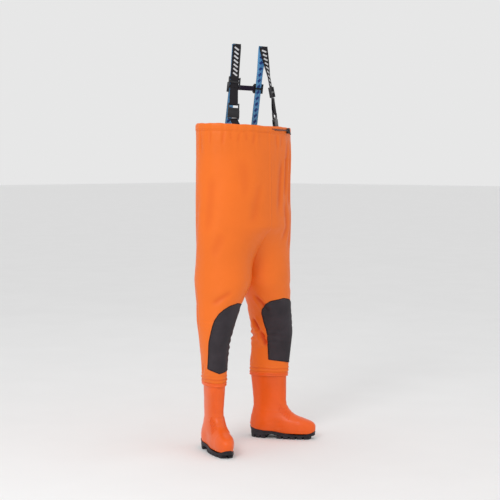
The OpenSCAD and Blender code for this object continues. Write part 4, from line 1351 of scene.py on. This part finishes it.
class WADERS_OT_boots(bpy.types.Operator):
    """Makes the boots, their moulded ribs, the soles and the bands where the legs join them"""

    bl_idname = "waders.boots"
    bl_label = "Boots"

    COLUMNS = 112
    WALL = 0.0035
    # Where each tread bar starts along the foot, and the bars' lengths.
    HEEL_BARS, TOE_BARS = (-87, -59, -31), (52, 84, 116, 148, 180)
    HEEL_BAR, TOE_BAR = 21, 22
    # The sole in section: the share of the way up, how far out, and how much of its width.
    SOLE_SECTION = [
        (0.0, -12, 0.03), (0.0, -9, 1), (0.0, -1.6, 1), (0.06, -0.4, 1), (0.14, 0, 1),
        (0.42, 0.1, 1), (0.46, -0.7, 1), (0.52, -0.7, 1), (0.56, 0.1, 1), (0.84, 0.2, 1),
        (0.92, 0.9, 1), (0.985, 0.7, 1), (1.0, -0.4, 1), (0.985, -4.5, 1), (0.7, -6, 1),
        (0.7, -9, 0.03)]
    # The joint's double ridge in section: how far out, and height.
    RIDGES = [
        (-0.6, 297.5), (1.6, 298), (2.8, 299.4), (3.0, 301.2), (2.0, 303), (1.3, 305), (2.0, 307),
        (3.1, 308.8), (3.0, 310.8), (1.8, 312.6), (-0.4, 313.4)]

    def execute(self, context):
        for name, side in SIDES.items():
            body = f"{name}_shin"
            self.upper(name, side, body)
            self.ribs(name, side, body)
            self.sole(name, side, body)
            self.seam(name, side, body)
            for node, material in (("insole", felt()), ("toe_cap", bright_steel())):
                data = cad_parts[f"{name}_{node}"].data
                data.materials.clear()
                data.materials.append(material)
        return {"FINISHED"}

    def upper(self, name, side, body):
        """The boot from its sole to the leg, with rows evenly spaced along its outline."""
        profile = np.linspace(26, 306, 1200)
        front = smooth_lookup(profile, BOOT_FRONT, 5)
        along = np.concatenate([[0], np.cumsum(np.hypot(np.diff(front), np.diff(profile)))])
        h = np.interp(np.linspace(0, along[-1], 118), along, profile)
        angle = np.linspace(0, 360, self.COLUMNS, endpoint=False)
        grid = boot_point(side, angle[None, :], h[:, None])
        faces = grid_faces(len(h), self.COLUMNS, closed=True, flip=side < 0)
        boot = surface(f"{name}_boot", grid, faces, [boot_rubber()])
        give_wall(boot, self.WALL)
        hand_over(boot, body, [f"{name}_boot_upper"])

    def ribs(self, name, side, body):
        """Raised bars beside the ankle, straight ribs up the shaft's front and the mould's seam."""
        parts = []
        for flank in (-1, 1):
            for k in range(6):
                t = np.linspace(0, 1, 12)
                h = 92 + 8.5 * k + 24 * t
                along = 100 - 9.5 * k + 8 * t
                angle = self.angle_at(along, h) * flank
                parts.append(self.rib(boot_point(side, angle, h, 0.6), 0.0024, 8))
            for k in range(4):
                h = np.linspace(172 + 4 * k, 286 - 6 * k, 40)
                path = boot_point(side, np.full(len(h), flank * (16 + 7.0 * k)), h, -0.1)
                parts.append(self.rib(path, 0.0009, 6))
        for angle, low, high in ((0.0, 150, 300), (180.0, 70, 300)):
            h = np.linspace(low, high, 80)
            path = boot_point(side, np.full(len(h), angle), h, -0.2)
            parts.append(self.rib(path, 0.0009, 6))
        ribs = faces_out(join(f"{name}_boot_ribs", parts, [boot_rubber()]))
        hand_over(ribs, body)

    def rib(self, path, radius, sides):
        """A moulded rib along a path in millimetres above the ground, as a part to join."""
        points, faces, _ = tube(to_frame(path), radius, sides)
        return points, faces, 0, None

    def angle_at(self, along, h):
        """The angle round the foot where its outline reaches a distance towards the toes."""
        front = smooth_lookup(h, BOOT_FRONT, 5)
        return np.degrees(np.arccos(np.clip(along / front, 0, 0.999) ** (1 / 0.9)))

    def sole(self, name, side, body):
        """The outsole with its welt, its tread bars and the bars round its edge."""
        angle = np.linspace(0, 360, 144, endpoint=False)
        base_x, _ = foot_local(angle, np.full(len(angle), 30.0), 2.5)
        top, under = lookup(base_x, SOLE_TOP), lookup(base_x, SOLE_UNDER)
        rows = []
        for share, push, squeeze in self.SOLE_SECTION:
            h = mix(under, top, share)
            x, y = foot_local(angle, np.maximum(h, 26), lookup(h, SOLE_OUT) + push)
            rows.append(foot_place(side, x, y * squeeze, h))
        grid = to_frame(np.stack(rows))
        faces = grid_faces(len(rows), len(angle), closed=True, flip=side < 0)
        faces += end_caps(len(rows), len(angle))
        parts = [(grid.reshape(-1, 3), faces, 0, None)]
        for start in self.HEEL_BARS + self.TOE_BARS:
            parts += [self.cleat(side, start, half, heel=start < 0) for half in (-1, 1)]
        parts += self.edge_bars(side)
        sole = faces_out(join(f"{name}_sole", parts, [sole_rubber()]))
        hand_over(sole, body, [f"{name}_outsole"])

    def half_width(self, x):
        """How far the sole reaches to its side at a distance towards the toes."""
        angle = np.linspace(0.5, 179.5, 240)
        line_x, line_y = foot_local(angle, np.full(240, 28.0), 3.0)
        order = np.argsort(line_x)
        return np.interp(x, line_x[order], line_y[order])

    def cleat(self, side, start, half, heel):
        """Half of one tread bar, swept back from the middle, with drafted sides."""
        length, inner = (self.HEEL_BAR, 1.2) if heel else (self.TOE_BAR, 4.0)
        stations = np.linspace(0, 1, 7)
        rings = []
        for h, draft in ((0.0, 1.1), (1.0, 0.35), (14.0, -0.6)):
            loop = []
            for outer, order in ((False, stations), (True, stations[::-1])):
                for s in order:
                    x = start + draft + (length - 2 * draft) * s
                    edge = max(8.0, float(self.half_width(min(x, 216)))) - draft
                    across = edge if outer else inner + draft
                    sweep = 0.0 if heel else -0.14 * across
                    loop.append((x + sweep, half * across))
            loop = np.array(loop)
            rings.append(foot_place(side, loop[:, 0], loop[:, 1], np.full(len(loop), h)))
        grid = to_frame(np.stack(rings))
        rows, columns = grid.shape[:2]
        faces = grid_faces(rows, columns, closed=True) + end_caps(rows, columns)
        return grid.reshape(-1, 3), faces, 0, None

    def edge_bars(self, side):
        """Short upright bars moulded round the toe and the heel edge of the sole."""
        for angle in (*range(-40, 41, 10), *range(140, 221, 10)):
            h = np.array([13.0, 22.0 if abs(angle) < 90 else 30.0])
            x, y = foot_local(np.full(2, float(angle)), np.full(2, 28.0), 4.4)
            yield self.rib(foot_place(side, x, y, h), 0.0016, 8)

    def seam(self, name, side, body):
        """The welded double ridge where the leg joins the boot."""
        v = np.linspace(0, 1, 160, endpoint=False)
        rows = []
        for out, h in self.RIDGES:
            sway = 0.9 * np.sin(4 * math.pi * v + side) + 0.5 * np.sin(10 * math.pi * v)
            rows.append(half_point(side, v, np.full(len(v), h) + sway, out))
        faces = grid_faces(len(rows), len(v), closed=True, ring=True)
        band = faces_out(surface(f"{name}_boot_seam", np.stack(rows), faces, [boot_rubber()]))
        hand_over(band, body, [f"{name}_boot_seam_band"])


# ---- Webbing ----

# Heights of the sliders and buckle sockets, and the angles that the width of the webbing
# is turned by at the front, at the fold over the shoulder and at the back wall.
SLIDER_H = {"right": 1663, "left": 1628}
SOCKET_H = {"right": 1497, "left": 1462}
FRONT_ANGLE = {"right": -25, "left": 25}
WALL_ANGLE = {"right": 13, "left": -13}
FOLD_ANGLE = -28
FOLD = (89, -38, 1837)
# The plug's bar stands this far above its socket; the bars' radius; half the webbing.
PLUG_BAR, BAR_R, HALF_WEB = 68, 2.5, 1.0
SLIDER_FOOT = 26
LOW_UP = (-0.088, 0.055, 1.0)
REAR_X, REAR_SLOPE, CROSS_H = 87.5, 0.15, 1645


def low_point(h):
    """The front strand's middle line below the slider, on the left."""
    return np.array([127 + 0.088 * (1640 - h), -59 - 0.055 * (1640 - h), h])


def rear_y(h):
    """Where the rear run stands, front to back."""
    return -37 + REAR_SLOPE * (1836 - h)


def axes_at(point, up, angle):
    """A function from a local point (across, through, up) to the ground's axes."""
    z = unit(up)
    level = np.array([math.cos(math.radians(angle)), math.sin(math.radians(angle)), 0])
    x = unit(level - z * (level @ z))
    y = np.cross(z, x)
    return lambda local: np.asarray(point) + np.asarray(local, float) @ np.stack([x, y, z])


def low_axes(name, h):
    mirror = np.array([SIDES[name], 1, 1])
    return axes_at(mirror * low_point(h), mirror * LOW_UP, FRONT_ANGLE[name])


# The rear run inside the bib: across, back, height, and the share of the wall's angle.
DOWN_THE_WALL = [
    (90, 36, 1440, 0), (93, 70, 1395, 0.5), (95, 111, 1360, 1), (96, 137, 1330, 1),
    (96, 143.8, 1305, 1), (96, 145.2, 1285, 1), (96, 145.2, 1265, 1)]


def brace_route(name):
    """The brace's middle line from the slider, over the shoulder and down inside the back."""
    side, front, wall = SIDES[name], FRONT_ANGLE[name], WALL_ANGLE[name]
    kink = low_point(SLIDER_H[name] - 25)
    turning_h, fold_h, straight_h = 1700, 1826, 1725
    fold_front = np.array([FOLD[0], FOLD[1] - 2.6, fold_h])
    up = (fold_front - kink) / (fold_front - kink)[2]
    route = []
    turning = [(t, mix(turning_h, fold_h, t)) for t in (0, 0.25, 0.5, 0.75, 1)]
    for t, h in ((0, kink[2]), *turning):
        p = kink + up * (h - kink[2])
        route.append((side * p[0], p[1], h, mix(front, FOLD_ANGLE, t)))
    for y, h in ((-2.2, -2), (0, 0), (2.2, -2)):
        route.append((side * FOLD[0], FOLD[1] + y, FOLD[2] + h, FOLD_ANGLE))
    for t in (0, 0.25, 0.5, 0.75, 1):
        h = mix(fold_h, straight_h, t)
        route.append((side * REAR_X, rear_y(h), h, mix(FOLD_ANGLE, 0, t)))
    route.append((side * REAR_X, rear_y(1480), 1480, 0))
    for x, y, h, turned in DOWN_THE_WALL:
        route.append((side * x, y, h, wall * turned))
    return np.array(route, float)


def fine_route(route, step=5.0):
    """More points along a route's straight runs."""
    fine = [route[0]]
    for a, b in zip(route[:-1], route[1:]):
        count = max(1, int(np.linalg.norm(b[:3] - a[:3]) / step))
        fine.extend(mix(a, b, (i + 1) / count) for i in range(count))
    return np.array(fine)


def ribbon(points, levels, width, thickness, closed=False):
    """Webbing with rounded edges: points, faces, material indices and UVs in metres.

    The outer face is index 0 and the inner face 1."""
    points, levels = np.array(points, float), np.array(levels, float)
    if closed:
        along = unit(np.roll(points, -1, axis=0) - np.roll(points, 1, axis=0))
    else:
        along = unit(np.gradient(points, axis=0))
    across = unit(levels - along * np.sum(levels * along, axis=1, keepdims=True))
    through = unit(np.cross(along, across))
    lengths = np.concatenate([[0], np.cumsum(np.linalg.norm(np.diff(points, axis=0), axis=1))])
    w, t = width / 2, thickness / 2
    flat = np.linspace(-1, 1, 9) * (w - t * 0.8)
    edge = [(w - t * 0.2, -t * 0.6), (w, 0), (w - t * 0.2, t * 0.6)]
    section = [(s, -t) for s in flat] + edge
    section += [(s, t) for s in flat[::-1]] + [(-x, y) for x, y in edge[::-1]]
    kinds = [0] * 12 + [1] * 9 + [0] * 3
    n = len(section)
    grid = np.stack([
        np.stack([p + a * s + f * d for s, d in section])
        for p, a, f in zip(points, across, through)])
    faces = grid_faces(len(points), n, closed=True, ring=closed)
    indices = kinds * (len(faces) // n)
    if not closed:
        faces += end_caps(len(points), n)
        indices += [0, 0]
    uvs = [(s, run) for run in lengths for s, _ in section]
    return grid.reshape(-1, 3), faces, indices, uvs, through


def strap(name, path, levels, width, thickness, materials, closed=False):
    """An object of webbing along a path in millimetres, and the direction through its wall."""
    points, faces, indices, uvs, through = ribbon(to_frame(path), levels, width, thickness, closed)
    if len(materials) == 1:
        indices = None
    obj = new_object(name, mesh_from(name, points, faces, uvs, indices))
    for material in materials:
        obj.data.materials.append(material)
    return faces_out(obj), through


def turning_strap(name, route, width, thickness, materials):
    """A strap from a route in millimetres of (x, y, height, angle of the width)."""
    angle = np.radians(route[:, 3])
    levels = np.stack([np.cos(angle), np.sin(angle), 0 * angle], axis=-1)
    return strap(name, route[:, :3], levels, width, thickness, materials)


class WADERS_OT_braces(bpy.types.Operator):
    """Makes the braces with their printed bars, their loops and tabs, and the cross strap"""

    bl_idname = "waders.braces"
    bl_label = "Braces"

    def execute(self, context):
        outside = webbing_cloth("webbing_black", colours().webbing_outside)
        inside = webbing_cloth("webbing_blue", colours().webbing_inside)
        dark = webbing_cloth("webbing_cross", colours().cross_strap)
        grey_ink = printed_ink("grey_bars", colours().outside_marks)
        blue_ink = printed_ink("blue_bars", colours().inside_marks)
        width, thickness = sizes().webbing_width, sizes().webbing_thickness
        for name in SIDES:
            route = fine_route(brace_route(name))
            brace, through = turning_strap(
                f"{name}_brace_webbing", route, width, thickness, [outside, inside])
            hand_over(brace, "bib", [f"{name}_brace"])
            self.printing(name, route, through, thickness, grey_ink, blue_ink)
            self.loop(name, width, thickness, outside, inside)
            self.tab(name, width, thickness, [inside, outside])
        self.cross_strap(dark)
        return {"FINISHED"}

    def printing(self, name, route, through, thickness, grey_ink, blue_ink):
        """Rows of slanting bars on both faces of the webbing."""
        h = route[:, 2]
        peak = int(np.argmax(h))
        index = np.arange(len(h))
        below_fold = h < 1818
        front = (index < peak) & (h > SLIDER_H[name] + 34) & below_fold
        rear = (index > peak) & (h > 1440) & below_fold
        middle = to_frame(route[:, :3])
        for label, face, ink, turn, size, spacing in (
            ("outer", -1, grey_ink, -0.55, (0.0075, 0.023, 0.00035), 0.0175),
            ("inner", 1, blue_ink, 0.6, (0.0125, 0.021, 0.00035), 0.0265),
        ):
            lines, facings = [], []
            for run in (front, rear):
                lines.append(middle[run] + face * through[run] * thickness / 2)
                facings.append(face * through[run])
            bars = row_of_marks(
                f"{name}_brace_{label}_bars", lines, facings, "BAR", spacing, size, ink, 0.0, turn)
            hand_over(bars, "bib")

    def loop(self, name, width, thickness, outside, inside):
        """The doubled webbing between the slider and the plug's bar, as a front strand and a rear
        one in two parts."""
        place = low_axes(name, SOCKET_H[name])
        rise = math.sqrt(sum(c * c for c in LOW_UP))
        top = (SLIDER_H[name] - SLIDER_FOOT - SOCKET_H[name]) * rise - PLUG_BAR
        reach = BAR_R + 0.5 + HALF_WEB
        turn = np.radians(np.linspace(0, 180, 13))
        front = [(0, reach * math.cos(a), -reach * math.sin(a)) for a in turn]
        front = [(0, reach, 5.0)] + front + [(0, -reach, 6), (0, -1.6, top * 0.7), (0, -1.2, top)]
        split, travel = 45.0, 28.0
        rear_lower = [(0, reach, 5.2), (0, reach + 0.5, 20), (0, reach + 0.3, 34), (0, 3.4, split)]
        rear_upper = [(0, 3.4, split), (0, 1.8, top * 0.85), (0, 1.2, top)]
        level = place((1, 0, 0)) - place((0, 0, 0))
        for label, line, held_at, lowest in (
            ("front", front, top, -reach), ("rear_lower", rear_lower, split, 5.2),
            ("rear_upper", rear_upper, top, split),
        ):
            path = smooth_path(place(np.array(line) + (0, 0, PLUG_BAR)), 3.0)
            cloths = [outside, outside if label == "front" else inside]
            levels = np.broadcast_to(level, path.shape)
            obj, _ = strap(f"{name}_{label}_strand", path, levels, width - 0.002, thickness, cloths)
            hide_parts(f"{name}_adjuster_loop")
            low, held = place((0, 0, PLUG_BAR + lowest)), place((0, 0, PLUG_BAR + held_at))
            if label == "rear_upper":
                tuple(to_frame(low))
                tuple(to_frame(held))
                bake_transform(obj)
                continue
            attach(obj, "bib")
            tuple(to_frame(held))
            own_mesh(obj)

    def tab(self, name, width, thickness, materials):
        """The short tab from the socket's bar down to the patch inside the bib."""
        side, socket, angle = SIDES[name], SOCKET_H[name], FRONT_ANGLE[name]
        x, y, h = low_point(socket + BAR_R) * (side, 1, 1)
        reach = BAR_R + 0.6 + HALF_WEB
        low_x, low_y, low_h = side * 143, -128.2, 1412 - (SOCKET_H["right"] - socket) / 2
        corners = [
            (x, y - 4, h + 3), (x, y - reach, h - 1), (x, y - 2, h - reach),
            (mix(x, low_x, 0.5), mix(y, low_y, 0.5), mix(h, low_h, 0.5)),
            (low_x, low_y + 3, low_h), (low_x, low_y, low_h - 14), (low_x, low_y, low_h - 50)]
        route = fine_route(np.array([(*c, angle) for c in corners], float), 3.0)
        tab, _ = turning_strap(
            f"{name}_front_tab_webbing", route, width - 0.002, thickness, materials)
        hand_over(tab, "bib", [f"{name}_front_tab"])

    def cross_strap(self, material):
        """The endless band round the posts of the two loops."""
        mid_r, post_x = 4.4, 54
        turn = np.radians(np.linspace(-90, 90, 15))
        path = [(post_x + mid_r * math.cos(a), mid_r * math.sin(a), 0) for a in turn]
        path += [(x, mid_r, 0) for x in np.linspace(post_x - 5, -post_x + 5, 22)]
        path += [(-post_x - mid_r * math.cos(a), mid_r * math.sin(a), 0) for a in turn[::-1]]
        path += [(x, -mid_r, 0) for x in np.linspace(-post_x + 5, post_x - 5, 22)]
        place = axes_at((0, rear_y(CROSS_H), CROSS_H), (0, -REAR_SLOPE, 1), 0)
        points = place(np.array(path))
        levels = np.broadcast_to(place((0, 0, 1)) - place((0, 0, 0)), points.shape)
        band, _ = strap(
            "cross_strap_band", points, levels, sizes().cross_width, 0.0016, [material],
            closed=True)
        hand_over(band, "cross_strap", ["cross_strap"])


class WADERS_OT_fittings(bpy.types.Operator):
    """Rounds the edges of the buckles, sliders, loops and the patches inside the bib"""

    bl_idname = "waders.fittings"
    bl_label = "Fittings"

    def execute(self, context):
        plastic, fabric = moulded_plastic(), coated_fabric()
        for name in SIDES:
            for node, body, bevel in (
                ("slider", f"{name}_slider", 0.0009), ("buckle_plug", f"{name}_plug", 0.0009),
                ("buckle_socket", "bib", 0.0012), ("cross_loop", "cross_strap", 0.0008),
            ):
                obj = finished_copy(f"{name}_{node}", f"{name}_{node}_moulding", bevel, plastic)
                hand_over(obj, body)
            for node in ("front_patch", "back_patch"):
                obj = finished_copy(f"{name}_{node}", f"{name}_{node}_weld", 0.0005, fabric)
                store(obj.data, "fold", np.zeros(len(obj.data.vertices)))
                hand_over(obj, "bib")
        return {"FINISHED"}


STEPS = (
    WADERS_OT_stage, WADERS_OT_drawcord, WADERS_OT_fabric, WADERS_OT_hem, WADERS_OT_knee_patches,
    WADERS_OT_boots, WADERS_OT_braces, WADERS_OT_fittings,
)


class WADERS_PT_panel(bpy.types.Panel):
    """Sizes, colours and steps of the waders"""

    bl_idname = "WADERS_PT_panel"
    bl_label = "Chest waders"
    bl_space_type = "VIEW_3D"
    bl_region_type = "UI"
    bl_category = "Waders"

    def draw(self, context):
        for group in (context.scene.wader_sizes, context.scene.wader_colours):
            box = self.layout.box()
            for key in group.__annotations__:
                box.prop(group, key)
        for step in STEPS:
            self.layout.operator(step.bl_idname)


CLASSES = (WaderSizes, WaderColours, *STEPS, WADERS_PT_panel)


def register():
    for cls in CLASSES:
        bpy.utils.register_class(cls)
    bpy.types.Scene.wader_sizes = bpy.props.PointerProperty(type=WaderSizes)
    bpy.types.Scene.wader_colours = bpy.props.PointerProperty(type=WaderColours)


def unregister():
    del bpy.types.Scene.wader_colours
    del bpy.types.Scene.wader_sizes
    for cls in reversed(CLASSES):
        bpy.utils.unregister_class(cls)


def main():
    register()
    for step in STEPS:
        group, action = step.bl_idname.split(".")
        getattr(getattr(bpy.ops, group), action)()


if __name__ == "__main__":
    main()
